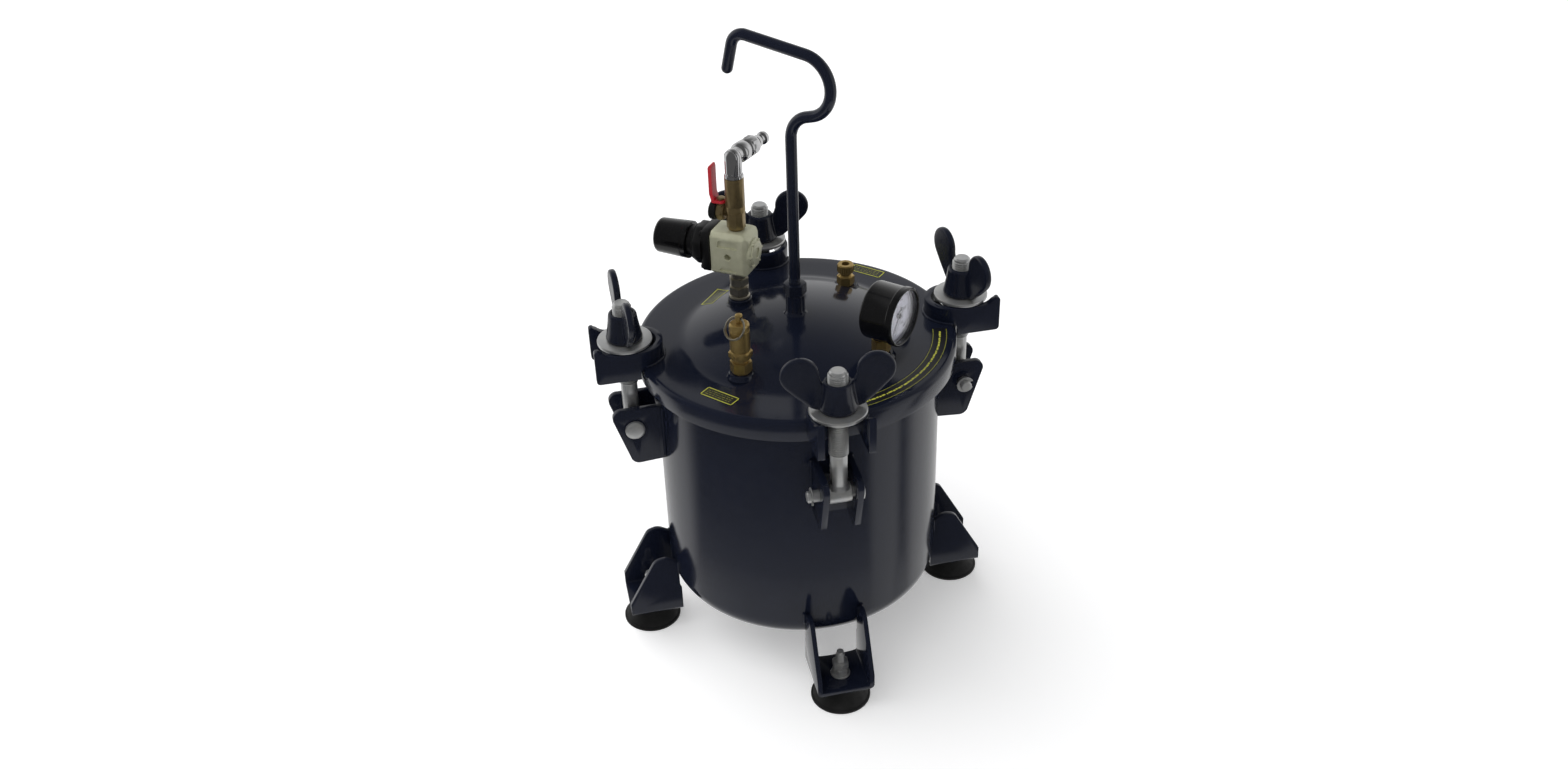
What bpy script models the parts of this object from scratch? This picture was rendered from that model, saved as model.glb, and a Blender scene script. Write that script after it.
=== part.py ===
"""Resin pressure pot: round tank on four rubber feet, domed lid held by four swing bolts,
with regulator, ball valve, swivel plug, safety valve, gauge and vent on the lid.

Frame: +Z up, origin on the tank's axis at floor level. The four clamps and feet stand on
+X, +Y, -X and -Y. Sizes below are in millimetres; the meshes are made in metres.
"""
import math

import bmesh
import bpy
from mathutils import Matrix, Vector

MM = 0.001
GAP = 0.3                    # room kept between touching pieces

# tank
TANK_R = 122.5
TANK_WALL = 2.5
TANK_FLOOR_Z = 45.0
TANK_KNUCKLE_R = 22.0
RIM_R = 130.5
RIM_Z0, RIM_Z1 = 270.0, 276.0

# lid
LID_R = 136.5
LID_TOP_Z = 285.5            # flat ring of the lid
LID_WALL = 5.0
LID_SKIRT_Z = 267.0
LID_EDGE_R = 5.0
DOME_APEX_Z = 306.0
DOME_FOOT_R = 97.0
PORT_HOLE_R = 5.0
SEAT_Z = 292.2               # flat seats of the three outer ports
REG_SEAT_Z = 304.5           # and of the regulator's port
GASKET_R0, GASKET_R1 = 118.0, 124.0

# swing clamps
CLAMP_ANGLES = {"right": 0.0, "back": 90.0, "left": 180.0, "front": -90.0}
WING_TURNS = {"right": 102.0, "back": 165.0, "left": 94.0, "front": -4.0}
BOLT_R_POS = 146.0           # distance of a clamp bolt from the tank's axis
PIN_Z = 221.5
PIN_R = 5.0
WASHER_Z = 300.0
WASHER_R = 23.0
WASHER_T = 3.0
BOLT_TOP_Z = 337.0
THREAD_R = 8.0
SHANK_R = 7.0
NUT_HEIGHT = 24.5
LUG_HALF = 23.0              # half width over the lug's two legs
LUG_T = 5.5
LUG_END_R = 174.0
LUG_FOOT_Z = 274.5
EAR_IN, EAR_T = 11.5, 5.0

# feet
FOOT_R_POS = 145.0
FOOT_HALF = 25.0
FOOT_T = 4.0
FOOT_BASE_Z = 20.0
CUP_R = 26.0
STUD_R = 4.0

# lifting hook in the middle of the lid, bent in one upright plane
HOOK_PLANE = -49.0
HOOK_ROD_R = 4.75
HOOK_STRAIGHT_Z = 464.3
HOOK_BENDS = ((22.0, 72.0, 6.5), (25.0, -157.5, 57.7), (13.5, -80.0, 21.5))

# fittings on the lid: distance from the axis and direction
REG_AT = (57.0, 135.0)
SAFETY_AT = (83.5, -135.0)
GAUGE_AT = (83.0, -45.0)
VENT_AT = (83.0, 45.0)

# regulator, all on one upright axis
REG_TURN = 145.0             # direction that the knob points
REG_BODY = (34.0, 29.0, 38.5)
REG_BODY_Z = 331.5
REG_BODY_SHIFT = 2.0          # the body's middle lies this far towards the knob
KNOB_Z = 352.0
KNOB_S0, KNOB_S1 = 42.5, 73.5
KNOB_R = 15.0
PILLAR_Z0, PILLAR_Z1 = 370.3, 417.0
PILLAR_SPLIT_Z = 388.0        # hexagon below, round above
VALVE_Z = 384.3
VALVE_STEM_S = 13.0
ARM_Z = 435.5
ARM_TURN = 44.0

# safety valve and gauge
SAFETY_TOP_Z = 338.0
RING_HOLE_Z = 342.8
RING_R = 9.4
RING_WIRE_R = 0.9
RING_LEAN = 57.0             # the hanging ring's angle below level
RING_TURN = 215.0
GAUGE_R = 24.8
GAUGE_Z = 330.7
GAUGE_OFF0, GAUGE_OFF1 = 74.6, 104.9
NEEDLE_REST = 35.0           # the needle's lean from straight down, reading nothing


def clear_scene():
    for obj in list(bpy.data.objects):
        bpy.data.objects.remove(obj, do_unlink=True)


def material(name, color, roughness, metallic):
    mat = bpy.data.materials.get(name)
    if mat:
        return mat
    mat = bpy.data.materials.new(name)
    mat.use_nodes = True
    shader = mat.node_tree.nodes["Principled BSDF"]
    shader.inputs["Base Color"].default_value = (*color, 1.0)
    shader.inputs["Roughness"].default_value = roughness
    shader.inputs["Metallic"].default_value = metallic
    mat.diffuse_color = (*color, 1.0)
    return mat


FINISHES = {
    "navy_paint": ((0.018, 0.02, 0.032), 0.22, 0.0),
    "zinc": ((0.62, 0.62, 0.62), 0.32, 1.0),
    "brass": ((0.55, 0.42, 0.2), 0.3, 1.0),
    "nickel": ((0.5, 0.47, 0.42), 0.28, 1.0),
    "champagne_cast": ((0.6, 0.6, 0.44), 0.42, 0.35),
    "black_plastic": ((0.02, 0.02, 0.022), 0.45, 0.0),
    "chrome": ((0.75, 0.75, 0.76), 0.12, 1.0),
    "red_vinyl": ((0.5, 0.02, 0.035), 0.4, 0.0),
    "rubber": ((0.02, 0.02, 0.02), 0.75, 0.0),
    "dial_white": ((0.75, 0.75, 0.82), 0.5, 0.0),
    "clear_glass": ((0.9, 0.92, 0.95), 0.05, 0.0),
}


def add_object(name, bm, finish, angle=45.0):
    """Turns a bmesh that is drawn in millimetres into an object in metres."""
    bmesh.ops.remove_doubles(bm, verts=bm.verts, dist=0.001)
    bmesh.ops.scale(bm, vec=(MM, MM, MM), verts=bm.verts)
    bmesh.ops.recalc_face_normals(bm, faces=bm.faces)
    mesh = bpy.data.meshes.new(name)
    bm.to_mesh(mesh)
    bm.free()
    mesh.shade_smooth()
    mesh.set_sharp_from_angle(angle=math.radians(angle))
    obj = bpy.data.objects.new(name, mesh)
    bpy.context.scene.collection.objects.link(obj)
    mesh.materials.append(material(finish, *FINISHES[finish]))
    return obj


def turned(profile, segments, closed=False, center=(0.0, 0.0)):
    """A solid turned about an upright axis. An open profile runs from axis to axis."""
    bm = bmesh.new()
    rings = []
    for r, z in profile:
        if r < 1e-6:
            rings.append([bm.verts.new((center[0], center[1], z))])
            continue
        turn = [2 * math.pi * i / segments for i in range(segments)]
        rings.append([bm.verts.new((center[0] + r * math.cos(a), center[1] + r * math.sin(a), z))
                      for a in turn])
    pairs = list(zip(rings, rings[1:]))
    if closed:
        pairs.append((rings[-1], rings[0]))
    for low, high in pairs:
        for i in range(segments):
            j = (i + 1) % segments
            corners = [low[i % len(low)], low[j % len(low)], high[j % len(high)], high[i % len(high)]]
            unique = list(dict.fromkeys(corners))
            if len(unique) > 2:
                bm.faces.new(unique)
    return bm


def prism(outline, low, high):
    """Straight solid of an outline in the XY plane, from low to high along Z."""
    bm = bmesh.new()
    face = bm.faces.new([bm.verts.new((x, y, low)) for x, y in outline])
    pushed = bmesh.ops.extrude_face_region(bm, geom=[face])
    moved = [v for v in pushed["geom"] if isinstance(v, bmesh.types.BMVert)]
    bmesh.ops.translate(bm, vec=(0, 0, high - low), verts=moved)
    return bm


def side_prism(outline, half):
    """Straight solid of an outline in the XZ plane, from -half to half along Y."""
    bm = prism(outline, -half, half)
    bmesh.ops.rotate(bm, matrix=Matrix.Rotation(math.radians(90), 3, "X"), verts=bm.verts)
    return bm


def hexagon(across_flats, low, high, turn=0.0):
    r = across_flats / math.sqrt(3)
    return prism([(r * math.cos(math.radians(turn + 60 * i)), r * math.sin(math.radians(turn + 60 * i)))
                  for i in range(6)], low, high)


def arc(cx, cy, r, start, end, steps):
    """Points on an arc, angles in degrees."""
    span = [math.radians(start + (end - start) * i / steps) for i in range(steps + 1)]
    return [(cx + r * math.cos(a), cy + r * math.sin(a)) for a in span]


def turn_to_x(bm):
    """Lays a solid drawn along +Z down along +X."""
    bmesh.ops.rotate(bm, matrix=Matrix.Rotation(math.radians(90), 3, "Y"), verts=bm.verts)
    return bm


def shift(bm, x, y, z):
    bmesh.ops.translate(bm, vec=(x, y, z), verts=bm.verts)
    return bm


def soften(bm, width, segments=1, angle=40.0):
    """Bevels the sharp edges of a solid."""
    bmesh.ops.recalc_face_normals(bm, faces=bm.faces)
    sharp = [e for e in bm.edges if len(e.link_faces) == 2 and e.calc_face_angle() > math.radians(angle)]
    bmesh.ops.bevel(bm, geom=sharp, offset=width, segments=segments, affect="EDGES", profile=0.5,
                    clamp_overlap=True)
    return bm


def combine(obj, bm, operation):
    """Adds, subtracts or intersects a bmesh with an object, and applies the result."""
    tool = add_object("tool", bm, "zinc")
    modifier = obj.modifiers.new("join", "BOOLEAN")
    modifier.operation = operation
    modifier.solver = "EXACT"
    modifier.object = tool
    bpy.context.view_layer.update()
    graph = bpy.context.evaluated_depsgraph_get()
    mesh = bpy.data.meshes.new_from_object(obj.evaluated_get(graph))
    obj.modifiers.clear()
    obj.data = mesh
    bpy.data.objects.remove(tool, do_unlink=True)
    mesh.shade_smooth()
    mesh.set_sharp_from_angle(angle=math.radians(40))
    return obj


def polar(at):
    return (at[0] * math.cos(math.radians(at[1])), at[0] * math.sin(math.radians(at[1])))


def stand(name, x, y, z, turn):
    """An empty that carries the pieces of one sub-assembly."""
    empty = bpy.data.objects.new(name, None)
    empty.empty_display_size = 0.01
    empty.location = (x * MM, y * MM, z * MM)
    empty.rotation_euler = (0, 0, math.radians(turn))
    bpy.context.scene.collection.objects.link(empty)
    return empty


def hang(obj, parent, location=(0.0, 0.0, 0.0), rotation=(0.0, 0.0, 0.0)):
    obj.parent = parent
    obj.location = Vector(location) * MM
    obj.rotation_euler = [math.radians(a) for a in rotation]
    return obj


# ---- tank and lid -----------------------------------------------------------

def dome_profile(offset, end_r, steps):
    """Points of the lid's dome from the axis outwards, lowered by an offset."""
    drop = DOME_APEX_Z - LID_TOP_Z
    return [(end_r * i / steps, DOME_APEX_Z - offset - drop * (end_r * i / steps / DOME_FOOT_R) ** 2)
            for i in range(steps + 1)]


def dome_cutter():
    """The space under the lid's outer face, with the usual gap."""
    top = dome_profile(-GAP, DOME_FOOT_R, 5)
    return turned([(0, 250)] + [(DOME_FOOT_R, 250)] + top[::-1], 48)


def make_tank():
    inner = TANK_R - TANK_WALL
    outer = arc(TANK_R - TANK_KNUCKLE_R, TANK_FLOOR_Z + TANK_KNUCKLE_R, TANK_KNUCKLE_R, -90, 0, 3)
    inside = arc(TANK_R - TANK_KNUCKLE_R, TANK_FLOOR_Z + TANK_KNUCKLE_R, TANK_KNUCKLE_R - TANK_WALL, 0, -90, 3)
    profile = [(0, TANK_FLOOR_Z)] + outer
    profile += [(TANK_R, RIM_Z0), (RIM_R, RIM_Z0), (RIM_R, RIM_Z1), (inner, RIM_Z1)]
    profile += inside + [(0, TANK_FLOOR_Z + TANK_WALL)]
    return add_object("tank_shell", turned(profile, 48), "navy_paint")


def make_lid():
    edge = arc(LID_R - LID_EDGE_R, LID_TOP_Z - LID_EDGE_R, LID_EDGE_R, 90, 0, 3)
    under = LID_TOP_Z - LID_WALL
    profile = dome_profile(0, DOME_FOOT_R, 5) + edge
    profile += [(LID_R, LID_SKIRT_Z), (LID_R - LID_WALL, LID_SKIRT_Z), (LID_R - LID_WALL, under)]
    profile += dome_profile(LID_WALL, DOME_FOOT_R, 4)[::-1]
    lid = add_object("lid_shell", turned(profile, 48), "navy_paint")
    for at, seat in ((REG_AT, REG_SEAT_Z), (SAFETY_AT, SEAT_Z), (GAUGE_AT, SEAT_Z), (VENT_AT, SEAT_Z)):
        low = 296 if seat == REG_SEAT_Z else 284
        boss = [(0, low), (10.5, low), (10.5, seat + 3), (0, seat + 3)]
        combine(lid, turned(boss, 16, center=polar(at)), "UNION")
        spot = turned([(0, seat), (11, seat), (11, 312), (0, 312)], 16, center=polar(at))
        combine(lid, spot, "DIFFERENCE")
        hole = turned([(0, 250), (PORT_HOLE_R, 250), (PORT_HOLE_R, 330), (0, 330)], 12, center=polar(at))
        combine(lid, hole, "DIFFERENCE")
    return lid


def make_gasket():
    low, high = RIM_Z1 + GAP, LID_TOP_Z - LID_WALL - GAP
    profile = [(GASKET_R0, low), (GASKET_R1, low), (GASKET_R1, high), (GASKET_R0, high)]
    return add_object("lid_gasket", turned(profile, 36, closed=True), "rubber")


def foot_profile(seat, flange_r):
    """Start of a fitting's profile: the thread in the lid's port, then the face on its seat."""
    return [(0, seat - 8.5), (4.1, seat - 8.5), (4.7, seat - 7.9), (4.7, seat + GAP), (flange_r, seat + GAP)]


# ---- clamps: drawn with the pin at the origin, +X outwards --------------------

def make_lug(side, frame):
    """Flat bar bent into a U round the bolt, welded on the lid's edge."""
    center = -8.5
    reach = LUG_END_R - BOLT_R_POS
    inner = LUG_HALF - LUG_T
    outline = [(reach, -LUG_HALF), (reach, -inner)] + arc(center, 0, inner, -90, -270, 8)
    outline += [(reach, inner), (reach, LUG_HALF)] + arc(center, 0, LUG_HALF, 90, 270, 10)
    seat = WASHER_Z - PIN_Z - GAP
    foot = LUG_FOOT_Z - PIN_Z
    lid_top = LID_TOP_Z - PIN_Z + GAP
    lid_edge = LID_R - BOLT_R_POS + 2 * GAP
    sweep = math.degrees(math.asin(reach / seat))
    side_view = [(lid_edge, foot), (reach - 3, foot)] + arc(reach - 3, foot + 3, 3, -90, 0, 3)
    side_view += arc(0, 0, seat, 90 - sweep, 90, 4) + [(center - 30, seat), (center - 30, lid_top)]
    side_view += [(lid_edge, lid_top)]
    lug = add_object("lid_lug_" + side, prism(outline, foot - 1, seat + 2), "navy_paint")
    combine(lug, side_prism(side_view, 30), "INTERSECT")
    return hang(lug, frame)


def make_clevis(side, frame):
    """Two ears and a back web, welded on the tank's wall; the pin goes through the ears."""
    back = TANK_R - BOLT_R_POS - 6
    out = EAR_IN + EAR_T
    plan = [(back, -out), (24, -out), (24, -EAR_IN), (-19.8, -EAR_IN), (-19.8, EAR_IN), (24, EAR_IN),
            (24, out), (back, out)]
    ear = [(back, 19.5), (12, 19.5)] + arc(12.5, 12, 7.5, 80, -15, 5)
    ear += arc(-1.5, -28.0, 7.5, -25, -90, 3) + [(back, -35.5)]
    clevis = add_object("tank_clevis_" + side, prism(plan, -40, 22), "navy_paint")
    combine(clevis, side_prism(ear, 30), "INTERSECT")
    wall = turned([(0, -60), (TANK_R + GAP, -60), (TANK_R + GAP, 40), (0, 40)], 96)
    combine(clevis, shift(wall, -BOLT_R_POS, 0, 0), "DIFFERENCE")
    bore = turned([(0, -30), (PIN_R + GAP, -30), (PIN_R + GAP, 30), (0, 30)], 16)
    bmesh.ops.rotate(bore, matrix=Matrix.Rotation(math.radians(90), 3, "X"), verts=bore.verts)
    combine(clevis, bore, "DIFFERENCE")
    return hang(clevis, frame)


def make_pin(side, frame):
    """Clevis pin with a domed head on one side and a ring groove at its tail."""
    out = EAR_IN + EAR_T
    tail = -out - 10
    profile = [(0, tail), (PIN_R - 0.8, tail), (PIN_R, tail + 0.8), (PIN_R, tail + 3), (PIN_R - 0.8, tail + 3),
               (PIN_R - 0.8, tail + 4.2), (PIN_R, tail + 4.2), (PIN_R, out + GAP), (8.6, out + GAP),
               (8.6, out + 2.4), (7.4, out + 3.4), (0, out + 3.8)]
    bm = turned(profile, 16)
    bmesh.ops.rotate(bm, matrix=Matrix.Rotation(math.radians(-90), 3, "X"), verts=bm.verts)
    return hang(add_object("clevis_pin_" + side, bm, "zinc"), frame)


def make_swing_bolt(side, frame):
    """T-shaped bolt: a cross barrel on the pin, a plain shank and a threaded end."""
    top = BOLT_TOP_Z - PIN_Z
    rod = [(0, 2), (SHANK_R, 2), (SHANK_R, 40), (THREAD_R, 41.5), (THREAD_R, top - 1.5), (THREAD_R - 1.5, top),
           (0, top)]
    bolt = add_object("swing_bolt_" + side, turned(rod, 18), "zinc")
    barrel = turned([(0, -9.7), (8.2, -9.7), (8.2, 9.7), (0, 9.7)], 18)
    bmesh.ops.rotate(barrel, matrix=Matrix.Rotation(math.radians(90), 3, "X"), verts=barrel.verts)
    combine(bolt, barrel, "UNION")
    bore = turned([(0, -30), (PIN_R + GAP, -30), (PIN_R + GAP, 30), (0, 30)], 16)
    bmesh.ops.rotate(bore, matrix=Matrix.Rotation(math.radians(90), 3, "X"), verts=bore.verts)
    combine(bolt, bore, "DIFFERENCE")
    return hang(bolt, frame)


def make_washer(side, frame):
    low = WASHER_Z - PIN_Z
    bore = THREAD_R + GAP
    profile = [(bore, low), (WASHER_R, low), (WASHER_R, low + WASHER_T), (bore, low + WASHER_T)]
    return hang(add_object("clamp_washer_" + side, turned(profile, 24, closed=True), "zinc"), frame)


def make_wing_nut(side, frame):
    """Cast wing nut: a tapered hub with two paddle-shaped wings."""
    low = WASHER_Z + WASHER_T - PIN_Z + GAP
    high = low + NUT_HEIGHT
    hub = [(0, low), (14.2, low), (15.2, low + 1.2), (14.6, low + 6), (11.6, high - 4), (11.0, high), (0, high)]
    nut = add_object("wing_nut_" + side, turned(hub, 18), "navy_paint")
    for way in (1, -1):
        paddle = [(9.5, low + 1), (19, low + 1)] + arc(29.6, low + 32.2, 15.4, -38, 172, 9)
        paddle += [(11.4, high - 2.6), (9.5, high - 2.6)]
        wing = side_prism([(way * x, z) for x, z in paddle], 2.9)
        combine(nut, wing, "UNION")
    bore = turned([(0, low - 5), (THREAD_R + GAP, low - 5), (THREAD_R + GAP, high + 5), (0, high + 5)], 18)
    combine(nut, bore, "DIFFERENCE")
    return hang(nut, frame, rotation=(0, 0, WING_TURNS[side] - CLAMP_ANGLES[side]))


def make_clamp(side):
    angle = CLAMP_ANGLES[side]
    x, y = polar((BOLT_R_POS, angle))
    frame = stand("clamp_frame_" + side, x, y, PIN_Z, angle)
    make_lug(side, frame)
    make_clevis(side, frame)
    make_pin(side, frame)
    make_swing_bolt(side, frame)
    make_washer(side, frame)
    make_wing_nut(side, frame)


# ---- feet: drawn with the stud's axis at x = 0, +X outwards --------------------

def make_foot_bracket(side, frame):
    """Channel with slanted side plates, welded on the tank's wall."""
    inner = FOOT_HALF - FOOT_T
    base = FOOT_BASE_Z
    section = [(-FOOT_HALF, base), (FOOT_HALF, base), (FOOT_HALF, 90), (inner, 90), (inner, base + FOOT_T),
               (-inner, base + FOOT_T), (-inner, 90), (-FOOT_HALF, 90)]
    channel = prism(section, -40, 40)
    bmesh.ops.rotate(channel, matrix=Matrix.Rotation(math.radians(90), 3, "X"), verts=channel.verts)
    bmesh.ops.rotate(channel, matrix=Matrix.Rotation(math.radians(90), 3, "Z"), verts=channel.verts)
    bracket = add_object("foot_bracket_" + side, channel, "navy_paint")
    plate = [(-30, base - 1), (19, base - 1), (21, base + 2), (21, base + 14), (-4.5, 79)]
    plate += arc(-14.5, 74.2, 8, 72, 125, 3) + [(-30, 75)]
    combine(bracket, side_prism(plate, 40), "INTERSECT")
    wall = turned([(0, 46), (TANK_R + GAP, 46), (TANK_R + GAP, 120), (0, 120)], 96, center=(-FOOT_R_POS, 0))
    combine(bracket, wall, "DIFFERENCE")
    rear = turned([(0, 0), (121.0, 0), (121.0, 60), (0, 60)], 96, center=(-FOOT_R_POS, 0))
    combine(bracket, rear, "DIFFERENCE")
    hole = turned([(0, 0), (STUD_R + GAP, 0), (STUD_R + GAP, 40), (0, 40)], 16)
    combine(bracket, hole, "DIFFERENCE")
    return hang(bracket, frame)


def make_cup(side, frame):
    """Rubber suction foot: wide lip, flared skirt and a neck that holds the stud."""
    top = FOOT_BASE_Z - GAP
    profile = [(0, 5.0), (16, 3.4), (23, 0), (CUP_R, 0), (CUP_R, 2.2), (17.5, 8.4),
               (13.2, 12.4), (11.5, top), (STUD_R + GAP, top), (STUD_R + GAP, 9), (0, 9)]
    return hang(add_object("suction_cup_" + side, turned(profile, 24), "rubber"), frame)


def make_stud(side, frame):
    """Stud with its washer and two jam nuts run down on the base plate."""
    low = FOOT_BASE_Z + FOOT_T + GAP
    rod = [(0, 9.5), (STUD_R, 9.5), (STUD_R, low), (8.5, low), (8.5, low + 1.6), (STUD_R, low + 1.6),
           (STUD_R, 49), (STUD_R - 0.9, 50), (0, 50)]
    stud = add_object("foot_stud_" + side, turned(rod, 14), "zinc")
    combine(stud, hexagon(13, low + 1.4, low + 7.6, 10), "UNION")
    combine(stud, hexagon(13, low + 8.2, low + 14.4, 28), "UNION")
    return hang(stud, frame)


def make_foot(side):
    angle = CLAMP_ANGLES[side]
    x, y = polar((FOOT_R_POS, angle))
    frame = stand("foot_frame_" + side, x, y, 0, angle)
    make_foot_bracket(side, frame)
    make_cup(side, frame)
    make_stud(side, frame)


# ---- lifting hook --------------------------------------------------------------

def hook_points():
    """Centre line of the hook in its own plane: distance along it and height."""
    points = [(0.0, DOME_APEX_Z + 3.0), (0.0, 400.0), (0.0, HOOK_STRAIGHT_Z)]
    s, z, heading = 0.0, HOOK_STRAIGHT_Z, 0.0
    for radius, bend, straight in HOOK_BENDS:
        way = math.copysign(1, bend)
        cx, cz = s + way * radius * math.cos(heading), z - way * radius * math.sin(heading)
        steps = max(4, int(abs(bend) / 15))
        for i in range(1, steps + 1):
            a = heading + math.radians(bend) * i / steps
            points.append((cx - way * radius * math.cos(a), cz + way * radius * math.sin(a)))
        heading += math.radians(bend)
        s, z = points[-1]
        s, z = s + straight * math.sin(heading), z + straight * math.cos(heading)
        points.append((s, z))
    return points


def make_hook():
    """Round rod swept along the hook's line, with a rounded end."""
    line = [Vector((s, 0, z)) for s, z in hook_points()]
    sides = 12
    bm = bmesh.new()
    rings = []
    for i, point in enumerate(line):
        ahead = (line[min(i + 1, len(line) - 1)] - point).normalized()
        behind = (point - line[max(i - 1, 0)]).normalized()
        along = (ahead + behind).normalized()
        normal = Vector((0, 1, 0)).cross(along)
        rings.append([bm.verts.new(point + HOOK_ROD_R * (math.cos(a) * normal + math.sin(a) * Vector((0, 1, 0))))
                      for a in [2 * math.pi * k / sides for k in range(sides)]])
    along = (line[-1] - line[-2]).normalized()
    for push, size in ((2.4, 0.84), (4.0, 0.45)):
        center = line[-1] + push * along
        rings.append([bm.verts.new(center + (v.co - line[-1]) * size) for v in rings[len(line) - 1]])
    for low, high in zip(rings, rings[1:]):
        for k in range(sides):
            bm.faces.new((low[k], low[(k + 1) % sides], high[(k + 1) % sides], high[k]))
    bm.faces.new(rings[0])
    bm.faces.new(rings[-1])
    frame = stand("hook_frame", 0, 0, 0, HOOK_PLANE)
    hang(add_object("lid_hook", bm, "navy_paint", 50), frame)
    bore = HOOK_ROD_R + GAP
    top = DOME_APEX_Z + 18
    boss = [(bore, DOME_APEX_Z - 1), (8.2, DOME_APEX_Z - 1), (8.2, top - 1), (7.6, top), (bore, top)]
    boss = add_object("hook_boss", turned(boss, 20, closed=True), "navy_paint")
    combine(boss, dome_cutter(), "DIFFERENCE")
    hang(boss, frame)
    nut = add_object("hook_lock_nut", hexagon(17, top + GAP, top + 10, 8), "navy_paint")
    hole = turned([(0, top - 9), (bore, top - 9), (bore, top + 20), (0, top + 20)], 20)
    combine(nut, hole, "DIFFERENCE")
    hang(nut, frame)


# ---- regulator, ball valve and swivel plug: +X along the knob --------------------

def make_regulator():
    x, y = polar(REG_AT)
    frame = stand("regulator_frame", x, y, 0, REG_TURN)
    nipple = foot_profile(REG_SEAT_Z, 9.0) + [(9.0, REG_SEAT_Z + 2.4), (6.9, REG_SEAT_Z + 3),
                                              (6.9, REG_BODY_Z - GAP), (0, REG_BODY_Z - GAP)]
    nipple = add_object("regulator_nipple", turned(nipple, 16, center=(x, y)), "nickel")
    combine(nipple, shift(hexagon(16, 308.0, 315.4, 20), x, y, 0), "UNION")
    combine(nipple, shift(hexagon(15, 316.6, 324, 35), x, y, 0), "UNION")

    length, width, height = REG_BODY
    mid = REG_BODY_Z + height / 2
    cut = 7.0
    back, front = REG_BODY_SHIFT - length / 2, REG_BODY_SHIFT + length / 2
    section = [(back, -width / 2 + cut), (back + cut, -width / 2), (front, -width / 2),
               (front, width / 2), (back + cut, width / 2), (back, width / 2 - cut)]
    body = add_object("regulator_body", soften(prism(section, REG_BODY_Z, REG_BODY_Z + height), 1.2),
                      "champagne_cast")
    boss = shift(turn_to_x(turned([(0, -6), (12.0, -6), (12.0, 2.4), (11.0, 3.2), (0, 3.2)], 24)), 0, 0, 0)
    bmesh.ops.rotate(boss, matrix=Matrix.Rotation(math.radians(180), 3, "Z"), verts=boss.verts)
    combine(body, shift(boss, back, 0, mid), "UNION")
    for low, high in ((REG_BODY_Z + 4, REG_BODY_Z + 9), (REG_BODY_Z + 27, REG_BODY_Z + 34)):
        pocket = shift(prism([(-10, -3), (10, -3), (10, 3), (-10, 3)], low, high), 3, -width / 2 - 1.2, 0)
        combine(body, pocket, "DIFFERENCE")
    port = turned([(0, -9), (4.2, -9), (4.2, 9), (0, 9)], 16)
    bmesh.ops.rotate(port, matrix=Matrix.Rotation(math.radians(90), 3, "X"), verts=port.verts)
    combine(body, shift(port, 2, -width / 2, mid), "DIFFERENCE")
    hang(body, frame)

    start = front + GAP
    bonnet = [(0, start + 6), (18.6, start + 6), (18.6, start + 14.4), (17.4, start + 15.4), (13.6, start + 17),
              (13.6, KNOB_S0 - GAP), (0, KNOB_S0 - GAP)]
    bonnet = add_object("regulator_bonnet", shift(turn_to_x(turned(bonnet, 32)), 0, 0, KNOB_Z), "black_plastic")
    half = width / 2 + 1.0
    flange_low, flange_high = REG_BODY_Z - 0.5, REG_BODY_Z + height + 0.5
    flange = [(start, -half + 4), (start + 1, -half), (start + 6.4, -half), (start + 7.4, -half + 4),
              (start + 7.4, half - 4), (start + 6.4, half), (start + 1, half), (start, half - 4)]
    combine(bonnet, prism(flange, flange_low, flange_high), "UNION")
    hang(bonnet, frame)

    knob = [(0, KNOB_S0), (KNOB_R + 1.3, KNOB_S0), (KNOB_R, KNOB_S1 - 4), (KNOB_R - 1.2, KNOB_S1 - 1), (KNOB_R - 3, KNOB_S1),
            (0, KNOB_S1)]
    knob = add_object("regulator_knob", turn_to_x(turned(knob, 32)), "black_plastic")
    hang(knob, frame, location=(0, 0, KNOB_Z))

    split = PILLAR_SPLIT_Z
    pillar = turned([(0, PILLAR_Z0), (7.2, PILLAR_Z0), (7.2, split), (8.2, split + 1),
                     (8.2, PILLAR_Z1), (0, PILLAR_Z1)], 28)
    pillar = add_object("inlet_pillar", pillar, "brass")
    combine(pillar, hexagon(15, PILLAR_Z0 + 1.5, split - 1, 30), "UNION")
    hang(pillar, frame)
    make_ball_valve(frame)
    make_swivel(x, y)


def make_ball_valve(frame):
    """Small ball valve beside the pillar, with its stem upright and a red lever."""
    body = turned([(0, 7.5 + GAP), (3.4, 7.5 + GAP), (3.4, 9.2), (6.6, 9.2), (7.0, 9.8), (7.0, 15.6), (6.4, 16.2),
                   (7.4, 16.6), (8.0, 17.4), (8.0, 21.8), (7.0, 22.6), (0, 22.6)], 20)
    body = add_object("ball_valve_body", shift(turn_to_x(body), 0, 0, VALVE_Z), "brass")
    stem = turned([(0, VALVE_Z + 4), (4.0, VALVE_Z + 4), (4.0, VALVE_Z + 8.1), (2.2, VALVE_Z + 8.1),
                   (2.2, VALVE_Z + 12.8), (0, VALVE_Z + 12.8)], 16, center=(VALVE_STEM_S, 0))
    combine(body, stem, "UNION")
    hang(body, frame)
    low = 8.4
    outline = arc(0, 0, 4.2, 110, 250, 6) + [(3.0, -5.2), (6.4, -4.6), (6.4, 4.6), (3.0, 5.2)]
    lever = add_object("ball_valve_lever", prism(outline, low, low + 2.4), "red_vinyl")
    strip = [(3.6, low + 0.2), (6.0, low + 0.2), (8.2, low + 8), (8.2, low + 31.6), (7.4, low + 33.2),
             (6.0, low + 33.2), (5.4, low + 31.6), (5.4, low + 8.8), (3.6, low + 2.2)]
    combine(lever, side_prism(strip, 4.6), "UNION")
    hole = turned([(0, 0), (2.2 + GAP, 0), (2.2 + GAP, 30), (0, 30)], 16)
    combine(lever, hole, "DIFFERENCE")
    hang(lever, frame, location=(VALVE_STEM_S, 0, VALVE_Z))


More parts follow.
